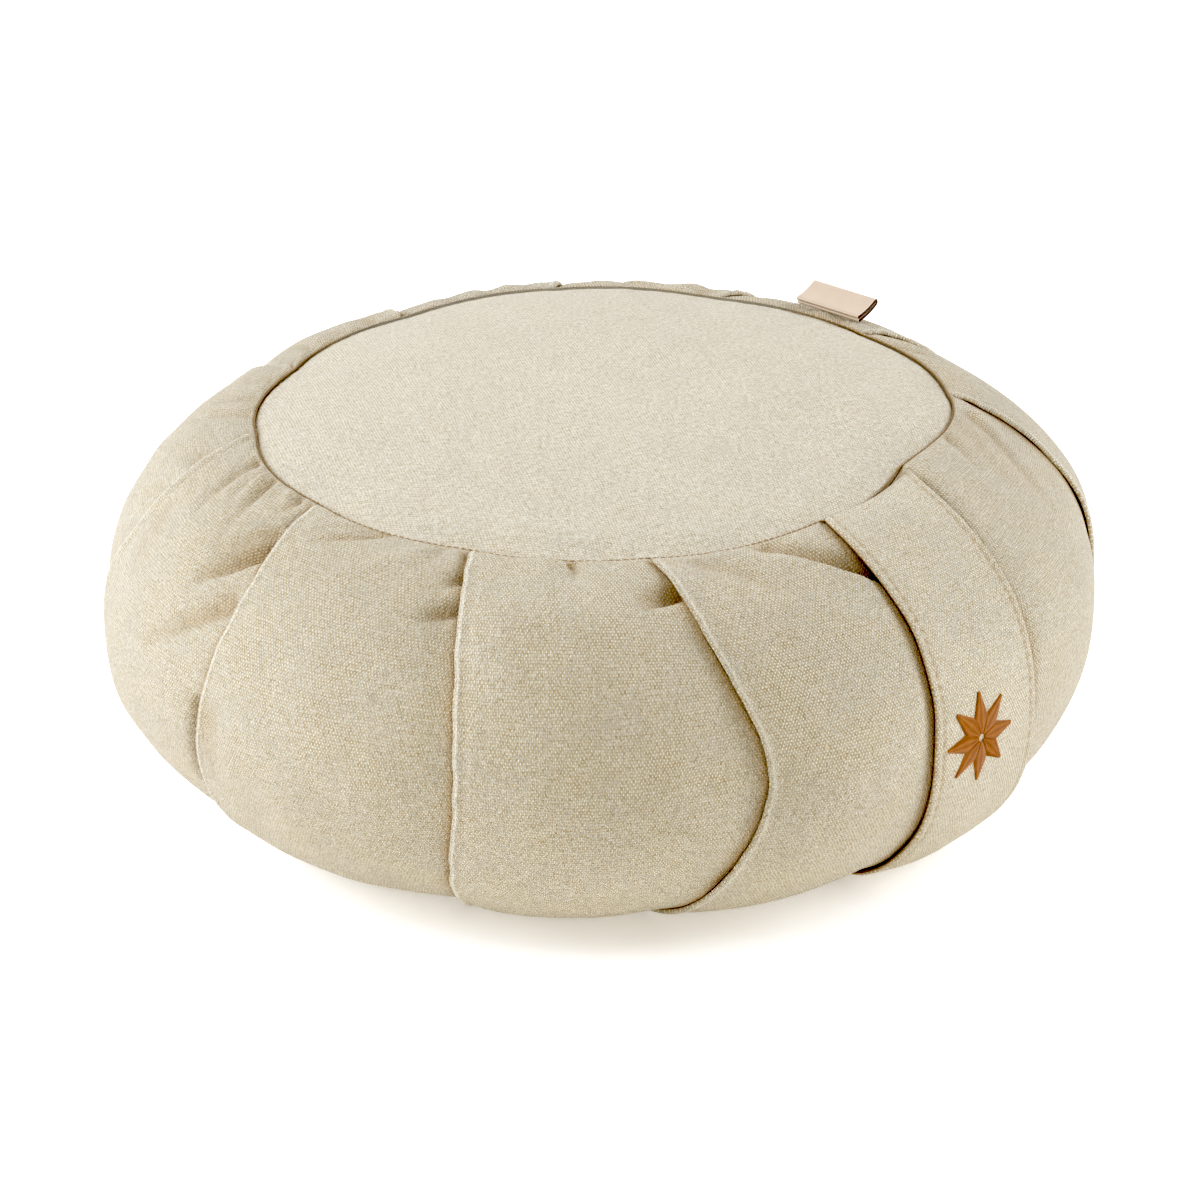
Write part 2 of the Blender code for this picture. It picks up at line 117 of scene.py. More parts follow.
# Soft folds in a panel of the side band, in millimetres, from one point to another.
# A point lies x from the panel's left or right pleat, and y below the top seam,
# along the cloth.  The fold's section is above wide towards the seam (or the
# left), and below wide on the other side.  A ridge has a negative depth.
Fold = namedtuple("Fold", "side x y to_x to_y above below depth to_depth")
MM = 0.001
FOLDS = {
    ("left", "left"): (
        (24, 2, 30, 32, 3.2, 2.6, 2.6, 0.5), (36, 4, 33, 22, 4, 4, -0.7, -0.2),
        (41, 2, 50, 28, 3.2, 2.2, 2.8, 0.5), (5, 2, 5, 95, 1.2, 1.2, 0.7, 0.5),
        (32, 1, 38, 20, 2.2, 1.8, 1.8, 0.3), (14, 40, 30, 66, 7, 6, 1, 0.4),
        (20, 128, 60, 142, 16, 18, 2.2, 1.8),
    ),
    ("left", "right"): (
        (14, 2, 12, 14, 4, 4, -0.8, -0.4), (8, 1, 10, 18, 2.5, 2, 1.9, 0.3),
        (1, 8, 3, 24, 3, 3, 1.2, 2.2), (1, 27, 24, 45, 6, 1.6, 7.5, 1.4),
        (6, 19, 26, 34, 2.2, 2.2, 1.8, 0.8), (3, 33, 20, 51, 3, 4.5, -1, -0.3),
        (5, 49, 34, 70, 6, 2.2, 3.2, 0.8), (2, 82, 4, 112, 3.4, 2.6, 4, 3),
    ),
    ("left_front", "left"): (
        (36, 2, 16, 16, 3.2, 1, 3.3, 0.8), (30, 1, 14, 9, 1.6, 1.3, 1.4, 0.3),
        (52, 7, 31, 25, 2.5, 5, -1.2, -0.3), (58, 2, 56, 12, 2.5, 2.5, 1.2, 0.2),
        (8, 2, 12, 24, 5, 6, -0.9, -0.3), (6, 84, 8, 104, 7, 8, 1.6, 0.8),
    ),
    ("left_front", "right"): (
        (0, 15, 7, 20, 3, 1.2, 3.2, 0.5), (0, 22, 6, 24, 2, 2, -0.6, -0.2),
        (0, 28, 14, 34, 4, 1.4, 4.6, 0.7), (1, 40, 3, 100, 6, 6, 0.3, 0.4),
    ),
    ("front_left", "left"): (
        (20, 34, 48, 34, 19, 22, -4.4, -4.4), (35, 0, 38, 15, 1.6, 2.2, 3.2, 0.3),
        (27, 3, 29, 20, 4.5, 4, -1, -0.3), (44, 3, 44, 18, 4, 5, -0.8, -0.2),
        (14, 3, 16, 20, 5, 5, 0.8, 0.2),
    ),
    ("front_left", "right"): (
        (0, 20, 18, 27, 5, 1.3, 5.5, 0.3), (1, 25, 17, 30, 1.6, 3.6, -0.9, -0.3),
        (0, 36, 2, 128, 6, 6, 0.4, 0.8),
    ),
    ("front_right", "left"): (
        (14, 7, 35, 25, 3.6, 4.5, 1.5, 0.7), (22, 2, 42, 17, 3, 3, -0.9, -0.5),
    ),
    ("front_right", "right"): (
        (31, 6, 0, 34, 6, 1.3, 3.2, 6.8), (30, 11, 4, 36, 2.2, 6, -0.9, -0.6),
        (0, 50, 0, 140, 8, 6, 0.4, 0.4),
    ),
    ("strap_right", "left"): (
        (1, 5, 5, 52, 4, 4.5, 2.2, 0.5), (14, 4, 18, 40, 6, 6, -1.1, -0.4),
        (36, 0, 37, 21, 3, 3.4, 2, 0.4), (50, 2, 48, 24, 5, 6, -0.8, -0.3),
    ),
    ("strap_right", "right"): (
        (12, 8, 34, 46, 5, 3, 2, 0.6), (24, 4, 46, 36, 5, 5, 1.2, 0.4),
    ),
}
# The panels that the photograph doesn't show get folds drawn at random.
FREE_PANELS = ("right", "right_back", "back_right", "back", "back_left", "left_back")


def drawn_folds(draw):
    """Puckers under the seam, then hollows beside the next pleat, for one panel."""
    for x in (12.0, 30.0, 47.0):
        start, run = x + draw.uniform(-5.0, 5.0), draw.uniform(14.0, 30.0)
        width, depth = draw.uniform(3.0, 5.0), draw.uniform(0.8, 2.2)
        yield Fold("left", start, 1.0, start + draw.uniform(-5.0, 8.0), run,
                   width, width, depth, 0.2)
        yield Fold("left", start + 8.0, 4.0, start + 9.0, 0.8 * run,
                   width, width, -0.5 * depth, -0.2)
    y, run = draw.uniform(18.0, 30.0), draw.uniform(10.0, 22.0)
    depth = draw.uniform(2.2, 4.2)
    yield Fold("right", 0.0, y, run, y + 0.5 * run, 6.0, 2.6, depth, 0.5)
    yield Fold("right", 1.0, y + 5.0, run, y + 5.0 + 0.5 * run, 2.0, 4.0, -0.9, -0.3)
    y = draw.uniform(70.0, 110.0)
    yield Fold("right", 2.0, y, 4.0, y + 30.0, 6.0, 6.0, draw.uniform(1.0, 2.6), 1.0)


def folds_by_panel():
    draw = np.random.default_rng(29)
    found = {panel: list(drawn_folds(draw)) for panel in FREE_PANELS}
    for (panel, side), rows in FOLDS.items():
        found.setdefault(panel, []).extend(Fold(side, *row) for row in rows)
    return found


PANEL_FOLDS = folds_by_panel()

# The strap: its middle line, and how far its face stands off at its left edge,
# its middle and its right edge.
STRAP_WIDTH = 0.0515
HALF_STRAP = 0.5 * STRAP_WIDTH
STRAP_THICKNESS = 0.0018
STRAP_FOOT = 0.030
STRAP_CLEARANCE = 0.0003
BED_MARGIN = 0.15  # degrees beside the strap that its bed reaches
BED_SHOULDER = 1.6  # degrees over which the panel comes up again
StrapRow = namedtuple("StrapRow", "height azimuth left middle right")
STRAP_ROWS = [StrapRow(*row) for row in (
    (0.00, 49.0, 0.0004, 0.0002, 0.0004),
    (0.06, 48.8, 0.0013, 0.0009, 0.0013),
    (0.14, 48.3, 0.0034, 0.0052, 0.0060),
    (0.28, 47.6, 0.0034, 0.0052, 0.0056),
    (0.40, 46.5, 0.0032, 0.0036, 0.0042),
    (0.52, 46.0, 0.0030, 0.0024, 0.0030),
    (0.66, 46.8, 0.0030, 0.0018, 0.0026),
    (0.80, 48.1, 0.0028, 0.0017, 0.0026),
    (0.93, 49.8, 0.0026, 0.0012, 0.0022),
    (1.00, 53.0, 0.0006, 0.0002, 0.0008),
)]
STRAP_WAVE = 0.00035  # of its edges, sideways
STRAP_SWELL = 0.00030  # of its face
HEM_PUFF = 0.00010
STITCH_GROOVE = 0.00016
STRAP_TOP = 0.997  # the strap's cloth goes on into the top seam
STITCH_INSET = 0.0032  # from the strap's edge to its topstitching
STITCH_PITCH = 0.0040
STITCH_LENGTH = 0.0031
STITCH_RADIUS = 0.00024
STITCHED_HEIGHTS = np.array((0.10, 0.975))  # from the first stitch to the last

# The embroidered star on the strap.
STAR_ACROSS = -0.0055
STAR_UP = 0.0835
STAR_RADIUS = 0.0160
STAR_POINTS = 8
LOZENGE_REACH = np.array((0.10, 0.42, 1.0)) * STAR_RADIUS
LOZENGE_WIDTH = (0.15, 1.0, 0.12)  # there, as shares of its waist
WAIST = 0.69  # of the width that leaves no gap between two points
SATIN_PITCH = 0.00050
SATIN_RADIUS = 0.00032
SATIN_RISE = 0.00045  # of a thread's middle over its ends
SATIN_SUNK = 0.00022  # its ends, below the strap's face

# The leather tab.
TAB_WIDTH = 0.0295
TAB_LENGTH = 0.0120
TAB_LEATHER = 0.0011
TAB_FOLD_GAP = 0.0005
TAB_AZIMUTH = 138.6
TAB_TILT = 21.0
TAB_ROOT = 0.0024  # out from the seam, and up
TAB_BOW = 0.0006


# ---- curves

def eased(value):
    """0 below 0, 1 above 1, and a soft S between."""
    share = np.clip(value, 0.0, 1.0)
    return share * share * (3.0 - 2.0 * share)


def bell(value):
    return np.exp(-np.square(value))


def curve_through(knots, values, x):
    """A smooth curve through the values at the knots, level beyond the ends."""
    knots, values = np.asarray(knots, float), np.asarray(values, float)
    low = np.maximum(np.arange(len(knots)) - 1, 0)
    high = np.minimum(np.arange(len(knots)) + 1, len(knots) - 1)
    slopes = (values[high] - values[low]) / (knots[high] - knots[low])
    x = np.clip(x, knots[0], knots[-1])
    k = np.clip(np.searchsorted(knots, x, side="right") - 1, 0, len(knots) - 2)
    width = knots[k + 1] - knots[k]
    s = (x - knots[k]) / width
    rise = values[k + 1] - values[k]
    start, end = slopes[k] * width, slopes[k + 1] * width
    return values[k] + s * (start + s * (3.0 * rise - 2.0 * start - end
                                         + s * (start + end - 2.0 * rise)))


def undulation(x, y, wavelength, seed):
    """A soft random swell over a plane, about -1 to 1, the same on each run."""
    draw = np.random.default_rng(seed)
    waves = 9
    total = np.zeros(np.broadcast(x, y).shape)
    for angle, stretch, phase in zip(draw.uniform(0.0, math.pi, waves),
                                     draw.uniform(0.7, 1.5, waves),
                                     draw.uniform(0.0, 2.0 * math.pi, waves)):
        run = x * math.cos(angle) + y * math.sin(angle)
        total = total + np.sin(2.0 * math.pi * run / (wavelength * stretch) + phase)
    return total / math.sqrt(2.0 * waves)


def beside(*columns):
    """One array of points or places from their coordinates."""
    return np.stack(np.broadcast_arrays(*columns), axis=-1)


def place(azimuth, radius, height):
    """Points at an azimuth and a radius about the seams' axis, over the floor."""
    angle = np.radians(azimuth)
    return beside(AXIS_X + radius * np.sin(angle), AXIS_Y - radius * np.cos(angle), height)


# ---- the cushion's form

def fold_azimuth(index, height):
    """The edge of a pleat, by its number counted on round the cushion."""
    pleat = PLEATS[index % len(PLEATS)]
    azimuths = (pleat.base, pleat.low, pleat.middle, pleat.high, pleat.top)
    up = SIDE_ABOUT * np.asarray(height)
    wobble = FOLD_WOBBLE * undulation(up, 0.0, WOBBLE_SIZE, 90 + index % len(PLEATS))
    turns = 360.0 * (index // len(PLEATS))
    return turns + curve_through(FOLD_HEIGHTS, azimuths, height) + wobble


def round_table(at_height, value):
    """A value that depends on the panel and the share along it, by azimuth."""
    ring, found = np.arange(0.0, 360.0, 0.5), []
    folds = [float(fold_azimuth(k, at_height)) for k in range(len(PLEATS) + 1)]
    for azimuth in ring:
        turned = folds[0] + (azimuth - folds[0]) % 360.0
        index = min(int(np.searchsorted(folds, turned, side="left")) - 1, len(PLEATS) - 1)
        index = max(index, 0)
        share = (turned - folds[index]) / (folds[index + 1] - folds[index])
        found.append(value(PLEATS[index], PLEATS[(index + 1) % len(PLEATS)], share))
    return lambda azimuth: np.interp(azimuth, ring, found, period=360.0)


def between(column):
    return lambda here, there, share: (getattr(here, column) + float(eased(share))
                                       * (getattr(there, column) - getattr(here, column)))


SCALLOP = lambda here, there, share: SEAM_SCALLOP * math.sin(math.pi * share)
seam_middle = round_table(1.0, between("seam"))
seam_scallop = round_table(1.0, SCALLOP)
base_scallop = round_table(0.0, SCALLOP)
side_reach = round_table(0.5, between("reach"))


def top_seam_radius(azimuth):
    return seam_middle(azimuth) + seam_scallop(azimuth)


def base_seam_radius(azimuth):
    return BASE_SEAM_RADIUS + base_scallop(azimuth)


def band_profile(azimuth, height):
    """The side band's general curve, as radius and height over the floor."""
    base, top = base_seam_radius(azimuth), top_seam_radius(azimuth)
    turn = math.pi * height
    reach = EQUATOR_RADIUS + side_reach(azimuth) - 0.5 * (base + top)
    bow = np.abs(np.sin(turn))
    roundness = SIDE_ROUNDNESS + FOOT_ROUNDNESS * eased(1.0 - 2.0 * height)
    radius = base + (top - base) * height + reach * bow ** roundness
    level = FOOT_HEIGHT + (TOP_SEAM_HEIGHT - FOOT_HEIGHT) * 0.5 * (1.0 - np.cos(turn))
    lift = EQUATOR_LIFT + EQUATOR_TILT * np.sin(np.radians(azimuth))
    return radius, level + lift * bow ** 4


def band_normal(azimuth, height):
    """The outward direction of the general curve, as radius and height."""
    step = 0.004
    low_radius, low_level = band_profile(azimuth, np.maximum(height - step, 0.0))
    high_radius, high_level = band_profile(azimuth, np.minimum(height + step, 1.0))
    across, up = high_radius - low_radius, high_level - low_level
    length = np.hypot(across, up)
    return up / length, -across / length


MERIDIAN = np.linspace(0.0, 1.0, 401)
_radius, _level = band_profile(0.0, MERIDIAN)
MERIDIAN_LENGTH = np.concatenate([[0.0], np.cumsum(np.hypot(np.diff(_radius), np.diff(_level)))])
SIDE_LENGTH = float(MERIDIAN_LENGTH[-1])


def up_the_side(height):
    """Distance along the cloth from the base seam."""
    return np.interp(height, MERIDIAN, MERIDIAN_LENGTH)


def pleat_opening(height):
    return eased(height / FLOOR_RELEASE) * eased((1.0 - height) / STEP_RELEASE)


def fold_opening(height):
    return eased(height / FOLD_RELEASE) * eased((1.0 - height) / FOLD_RELEASE)


def swelling(height):
    return np.abs(np.sin(math.pi * height)) ** 1.1


def shoulder_drop(distance):
    """How far the cloth has rolled down at this distance from the top seam."""
    left = np.clip(SHOULDER - distance, 0.0, SHOULDER)
    return SHOULDER - np.sqrt(SHOULDER ** 2 - left ** 2)


def seam_shut(azimuth):
    """How far the top seam is pressed shut: only at the back."""
    from_back = np.abs((azimuth - BACK_OF_SEAM + 180.0) % 360.0 - 180.0)
    return eased((SHUT_REACH - from_back) / SHUT_RELEASE)


# ---- the side band's relief

def fold_relief(panel, from_left, to_right, below_seam):
    """How deep the soft folds of a panel lie, by place on its cloth: troughs, then ridges."""
    troughs, ridges = np.zeros_like(from_left), np.zeros_like(from_left)
    for fold in PANEL_FOLDS.get(panel, ()):
        turn = 1.0 if fold.side == "left" else -1.0
        x = (from_left if fold.side == "left" else -to_right) - turn * fold.x * MM
        y = below_seam - fold.y * MM
        run_x, run_y = turn * (fold.to_x - fold.x) * MM, (fold.to_y - fold.y) * MM
        length = math.hypot(run_x, run_y)
        along = (x * run_x + y * run_y) / length
        side = 1.0 if run_x - run_y < 0.0 else -1.0
        across = side * (x * run_y - y * run_x) / length
        width = np.where(across < 0.0, fold.above, fold.below) * MM
        beyond = np.maximum(np.maximum(-along, along - length), 0.0)
        depth = fold.depth + (fold.to_depth - fold.depth) * np.clip(along / length, 0.0, 1.0)
        share = bell(across / width) * bell(beyond / (0.5 * (fold.above + fold.below) * MM))
        if fold.depth > 0.0:
            troughs += depth * MM * share
        else:
            ridges -= depth * MM * share
    return troughs, ridges


def strap_value(column, height):
    heights = [row.height for row in STRAP_ROWS]
    return curve_through(heights, [getattr(row, column) for row in STRAP_ROWS], height)


def strap_stand(across, height):
    """How far the strap's face stands off the general curve, across from its middle."""
    centre = strap_value("middle", height)
    edge = np.where(across < 0.0, strap_value("left", height), strap_value("right", height))
    return centre + (edge - centre) * np.square(across / HALF_STRAP)


def strap_underside(azimuth, height):
    """How far the filling stands under the strap: it takes the strap's own form."""
    across = np.radians(azimuth - strap_value("azimuth", height)) * band_profile(azimuth, height)[0]
    inside = np.clip(across, -HALF_STRAP, HALF_STRAP)
    return strap_stand(inside, height) - STRAP_THICKNESS - STRAP_CLEARANCE


def strap_cover(azimuth, height):
    """1 under the strap, and falling to 0 a little way beside it."""
    half = np.degrees(HALF_STRAP / band_profile(azimuth, height)[0])
    inside = half - np.abs(azimuth - strap_value("azimuth", height))
    return eased(1.0 + (inside + BED_MARGIN) / BED_SHOULDER)


def on_band(azimuth, height, stand, drop):
    """Points that stand this far off the band's general curve, less a drop."""
    radius, level = band_profile(azimuth, height)
    out, up = band_normal(azimuth, height)
    return place(azimuth, radius + stand * out, level + stand * up - drop)


FRONT_PITCH = 0.00155  # between two columns of the mesh, where the photograph looks
BACK_PITCH = 0.0026
EDGE_STEPS = np.array((0.0006, 0.0014, 0.0024, 0.0036))
TUCK_STEPS = np.array((0.0070, 0.0054, 0.0040, 0.0028, 0.0018, 0.0009, 0.0))
UNDER_STEPS = np.array((0.0015, 0.0031))
EDGE_COLUMNS_WIDTH = 0.012  # taken up by the columns near both edges
HIDDEN_COLUMNS = 8  # enough under the strap
SEWN_MARGIN = 0.0001  # between two panels in a seam
FACE_START = 0.0006  # over which a pleat's face begins, past its edge's turn
# Painted shade: how the cloth is darkened and warmed in soft folds, beside the next pleat and under
# the strap.
TROUGH_START = 0.0004  # depth at which a soft fold begins to be shaded
TROUGH_SHADED = 0.0024  # and over which the shade deepens
TROUGH_SHADE = 0.9
VALLEY_SHADED = 0.0026  # width of the shade beside the next pleat
VALLEY_SHADE = 0.95
BED_SHADE = 0.9  # under the strap
CREST, CREST_AT, CREST_WIDTH = 0.7, 0.0011, 0.0007  # the painted highlight along a pressed edge
GRAIN_LINE = 0.4  # share across a panel where its grain runs straight up
PANEL_APART = 0.1  # from panel to panel in the weave, so that no two look the same
ROLL_TURNS = np.radians((-84.0, -60.0, -30.0, 0.0, 25.0, 50.0, 70.0, 90.0))
ROW_PITCHES = ((0.0, 0.0022), (0.10, 0.0022), (0.70, 0.0021), (0.80, 0.0011), (0.985, 0.0009),
               (1.0, 0.0004))


def band_heights():
    """The rows' heights, closer together near the top seam."""
    knots, pitches = zip(*ROW_PITCHES)
    found, up = [0.0], 0.0
    while up < SIDE_LENGTH:
        up += float(np.interp(np.interp(up, MERIDIAN_LENGTH, MERIDIAN), knots, pitches))
        found.append(up)
    return np.interp(np.array(found) * SIDE_LENGTH / found[-1], MERIDIAN_LENGTH, MERIDIAN)


def seam_shade(distance):
    """How much painted shade the cloth gets on its way into the top seam; over 1 it is umber."""
    return 0.40 * bell(distance / 0.0010) + 0.45 * bell(distance / 0.0003)


def panel_columns(name, width, opening):
    """Where a panel's columns lie on each row, from its own pleat's edge.

    Where the pleats are open, the cloth runs from under its own pleat's edge to
    under the next one; at a seam it is sewn flat, from pleat to pleat.
    """
    pitch = BACK_PITCH if name in FREE_PANELS else FRONT_PITCH
    inner = HIDDEN_COLUMNS if name == "strap_left" \
        else int(round((float(width.max()) - EDGE_COLUMNS_WIDTH) / pitch))
    share = (np.arange(inner) + 0.5) / inner
    left = np.concatenate([(FOLD_LAP, 0.5 * FOLD_LAP), FOLD_ROLL * (1.0 - np.cos(ROLL_TURNS)),
                           FOLD_ROLL + EDGE_STEPS])
    right = np.concatenate([-TUCK_STEPS, UNDER_STEPS])
    first, last = left[-1], TUCK_STEPS[0]
    x_open = np.concatenate([np.ones_like(width) * left,
                             first + (width - last - first) * share, width + right], axis=1)
    x_sewn = x_open.copy()
    x_sewn[:, :len(left)] = np.linspace(SEWN_MARGIN, first, len(left))
    x_sewn[:, -len(right):] = width - np.linspace(last, SEWN_MARGIN, len(right))
    return x_sewn + (x_open - x_sewn) * opening


def panel_cloth(index, heights):
    """One panel's cloth, from under its own pleat's edge to under the next one.

    Gives its points, its cloth coordinates, its painted shade, deeper where a point
    lies deep in a fold or seam, and the painted highlight where the pressed edge shows.
    """
    pleat, name, after = PLEATS[index], PLEATS[index].name, PLEATS[(index + 1) % len(PLEATS)]
    h = heights[:, None]
    start, end = fold_azimuth(index, heights)[:, None], fold_azimuth(index + 1, heights)[:, None]
    radius = band_profile(0.5 * (start + end), h)[0]
    width = np.radians(end - start) * radius
    opening, lifted = fold_opening(h), pleat_opening(h)
    x = panel_columns(name, width, opening)
    azimuth = start + np.degrees(x / radius)

    # How far each column stands off the general curve.
    along = np.clip(x / width, 0.0, 1.0)
    closed_roll = FOLD_ROLL * opening * (1.0 - lifted)
    stand = (pleat.step * lifted + closed_roll) * (1.0 - along)
    stand[:, 2:2 + len(ROLL_TURNS)] += FOLD_ROLL * (np.sin(ROLL_TURNS) - 1.0) * opening
    stand[:, :2] -= 2.0 * FOLD_ROLL * opening
    face = eased((x - FOLD_ROLL) / FACE_START)
    stand += EDGE_RIDGE * opening * bell((x - RIDGE_AT) / RIDGE_WIDTH) * face
    stand -= EDGE_HOLLOW * opening * bell((x - HOLLOW_AT) / HOLLOW_WIDTH)
    valley = (2.0 * FOLD_ROLL + FOLD_GAP) * opening - (after.step * lifted + closed_roll)
    to_next = width - x
    stand -= valley * (1.0 - eased(to_next / TUCK_WIDTH))
    stand += swelling(h) * pleat.swell * np.sin(math.pi * along)

    # Creases, hollows and the soft unevenness of the filling.
    x_cloth = np.radians(azimuth) * band_profile(azimuth, h)[0]
    y_cloth = up_the_side(h) * np.ones_like(x)
    below_seam = SIDE_LENGTH - y_cloth
    troughs, ridges = fold_relief(name, x, to_next, below_seam)
    sewn = eased(below_seam / 0.0030)
    stand += ridges * sewn
    stand += LUMP_DEPTH * swelling(h) * undulation(x_cloth, y_cloth, LUMP_SIZE, 11 + index)
    pucker = PUCKER_DEPTH * sewn * np.exp(-below_seam / PUCKER_REACH)
    stand += pucker * undulation(x_cloth, 0.3 * y_cloth, PUCKER_SIZE, 31 + index)
    covered = strap_cover(azimuth, h)
    stand += (strap_underside(azimuth, h) - stand) * covered
    stand -= troughs * sewn
    shut = seam_shut(azimuth)
    drop = shoulder_drop(below_seam) * (1.0 - SHUT_DEPTH * shut)

    points = on_band(azimuth, h, stand, drop)
    here, there = (float(fold_azimuth(k, 0.5)) for k in (index, index + 1))
    grain_line = (1.0 - GRAIN_LINE) * here + GRAIN_LINE * there
    grain = np.radians(azimuth - grain_line) * band_profile(azimuth, h)[0] + PANEL_APART * index
    # Painted shade, darker deep in soft folds, beside the next pleat, under the strap, under the
    # pleat's own edge and into the top seam.
    recess = np.maximum(troughs - TROUGH_START, 0.0)
    recess = TROUGH_SHADE * (1.0 - np.exp(-recess / TROUGH_SHADED))
    in_valley = VALLEY_SHADE * bell(np.maximum(to_next, 0.0) / VALLEY_SHADED)
    recess = np.maximum(recess, in_valley * opening)
    recess = np.maximum(recess, BED_SHADE * covered ** 2 * opening)
    recess[:, :4] = np.maximum(recess[:, :4], opening)
    recess = np.maximum(recess, seam_shade(below_seam) * (1.0 - SHUT_SHADE * shut))
    # Painted highlight along the pressed edge.
    crest = CREST * bell((x - CREST_AT) / CREST_WIDTH) * face * opening
    return points, beside(grain, y_cloth), recess, crest


# ---- meshes

def object_from(name, points, faces, uv, **values):
    """A smooth mesh object with cloth coordinates and named values on its points."""
    mesh = bpy.data.meshes.new(name)
    mesh.from_pydata(points.reshape(-1, 3).tolist(), [], faces)
    mesh.update()
    corners = np.empty(len(mesh.loops), np.int32)
    mesh.loops.foreach_get("vertex_index", corners)
    layer = mesh.uv_layers.new(name="cloth")
    layer.uv.foreach_set("vector", uv.reshape(-1, 2)[corners].astype(np.float32).ravel())
    for key, value in values.items():
        attribute = mesh.attributes.new(key, "FLOAT", "POINT")
        attribute.data.foreach_set("value", np.ravel(value).astype(np.float32))
    mesh.shade_smooth()
    piece = bpy.data.objects.new(name, mesh)
    bpy.context.scene.collection.objects.link(piece)
    return piece


def grid_faces(rows, columns, first=0):
    """Quads between rings of points, outward where the rings rise."""
    k = np.arange(columns)
    after = (k + 1) % columns
    low = first + columns * np.arange(rows - 1)[:, None]
    high = low + columns
    return np.stack([low + k, low + after, high + after, high + k], axis=2).reshape(-1, 4).tolist()


def fan(ring_first, columns, middle, upward):
    """Triangles from a ring to the point in its middle."""
    k = np.arange(columns)
    after = (k + 1) % columns
    pair = (k, after) if upward else (after, k)
    return [(ring_first + int(a), ring_first + int(b), middle) for a, b in zip(*pair)]


# The filling under the top panel: shares of the seam's radius, and heights over the seam.
FILLING_RINGS = ((0.965, -0.0065), (0.90, -0.0030), (0.75, 0.0030), (0.5, 0.0075))
FILLING_CROWN = 0.0085
FILLING_FOOT = 0.0024  # its flat underside, just over the base panel


def drawn_in(ring, share, level):
    """A ring of points, drawn in towards the axis at one level."""
    axis = np.array((AXIS_X, AXIS_Y))
    inner = np.full(ring.shape, level)
    inner[:, :2] = axis + (ring[:, :2] - axis) * share
    return inner


def make_pleated_body():
    """The filled side band with its crown and its flat underside."""
    heights = band_heights()
    panels = [panel_cloth(index, heights) for index in range(len(PLEATS))]
    points, uv, recess, crest = (np.concatenate(part, axis=1) for part in zip(*panels))
    rows, columns = recess.shape

    body = [drawn_in(points[0], 0.997, FILLING_FOOT), *points]
    body += [drawn_in(points[-1], share, TOP_SEAM_HEIGHT + lift) for share, lift in FILLING_RINGS]
    middles = [(AXIS_X, AXIS_Y, TOP_SEAM_HEIGHT + FILLING_CROWN), (AXIS_X, AXIS_Y, FILLING_FOOT)]
    count = len(body) * columns
    faces = grid_faces(len(body), columns)
    faces += fan(count - columns, columns, count, upward=True)
    faces += fan(0, columns, count + 1, upward=False)

    def with_filling(values):
        """The band's values, and 0 on the points of the filling around it."""
        around = (columns, (len(body) - 1 - rows) * columns + 2)
        return np.pad(values.reshape(rows * columns, -1), (around, (0, 0)))

    return object_from("pleated_body_cloth", np.concatenate([*body, middles]), faces,
                       with_filling(uv), recess=with_filling(recess), crest=with_filling(crest))


PANEL_COLUMNS = 540
EDGE_PER_DEGREE = 0.0021  # length of the top panel's edge
EDGE_WAVER = 0.00022  # of its radius
EDGE_ROLL = 0.0012  # how much lower its outermost tenth lies
CROWN_LUMPS = 0.0004
RIM_PUCKERS = 0.00025
RIM_DISTANCES = (0.0, 0.0002, 0.0005, 0.0009, 0.0014, 0.0020, 0.0028, 0.0040, 0.0056, 0.0076,
                 0.0100, 0.0130, 0.0165, 0.0205, 0.0250)


def panel_rings(radius):
    """Distances from the seam, for the rings of a round panel."""
    left = np.linspace(RIM_DISTANCES[-1], 0.97 * radius, 26)[1:]
    return np.concatenate([RIM_DISTANCES, left])


def make_top_panel():
    """The crowned round panel, rolled down into the seam at its edge."""
    azimuth = np.arange(PANEL_COLUMNS) * 360.0 / PANEL_COLUMNS
    along_edge = EDGE_PER_DEGREE * azimuth
    edge = top_seam_radius(azimuth) - RIM_GAP
    seam = float(edge.mean())
    pressed = seam_shut(azimuth)
    distances = panel_rings(seam)[:, None]
    share = 1.0 - distances / seam
    waver = EDGE_WAVER * undulation(along_edge, 0.0, 0.0034, 9)
    radius = edge * share - waver * (1.0 - eased(distances / 0.0030))
    crown = CROWN_RISE * (1.0 - share ** CROWN_FULLNESS)
    roll = EDGE_ROLL * eased((share - 0.90) / 0.10)
    level = TOP_SEAM_HEIGHT + crown - roll \
        - shoulder_drop(distances) * (1.0 - SHUT_DEPTH * pressed)
    x, y = radius * np.sin(np.radians(azimuth)), -radius * np.cos(np.radians(azimuth))
    level = level + CROWN_LUMPS * undulation(x, y, 0.055, 5) * eased(distances / 0.012)
    level = level + RIM_PUCKERS * undulation(along_edge, distances * 2.0, 0.017, 8) \
        * eased(distances / 0.002) * (1.0 - eased((distances - 0.004) / 0.012))
    upper = place(azimuth, radius, level)
    lower = upper[::-1].copy()
    lower[..., 2] -= SHEET_THICKNESS
    lower[-1, :, :2] = upper[1, :, :2]
    middle = upper[-1].mean(axis=0)
    middle[2] = upper[-1, :, 2].mean() + 0.00002
    points = np.concatenate([np.concatenate([upper, lower]).reshape(-1, 3),
                             [middle, middle - (0.0, 0.0, SHEET_THICKNESS)]])

    rings, columns = len(upper), PANEL_COLUMNS
    count, last = 2 * rings * columns, (2 * rings - 1) * columns
    faces = grid_faces(rings, columns)
    faces += grid_faces(rings, columns, first=rings * columns)
    faces += [[v - columns if v >= columns else v + last for v in face]
              for face in grid_faces(2, columns)]
    faces += fan((rings - 1) * columns, columns, count, upward=True)
    faces += fan(rings * columns, columns, count + 1, upward=False)
    # Painted shade where the panel rolls down into the top seam.
    near = seam_shade(distances) * (1.0 - SHUT_SHADE * pressed)
    recess = np.concatenate([near.ravel(), near[::-1].ravel(), [0.0, 0.0]])
    return object_from("top_panel_cloth", points, faces, points[:, :2].copy(), recess=recess)


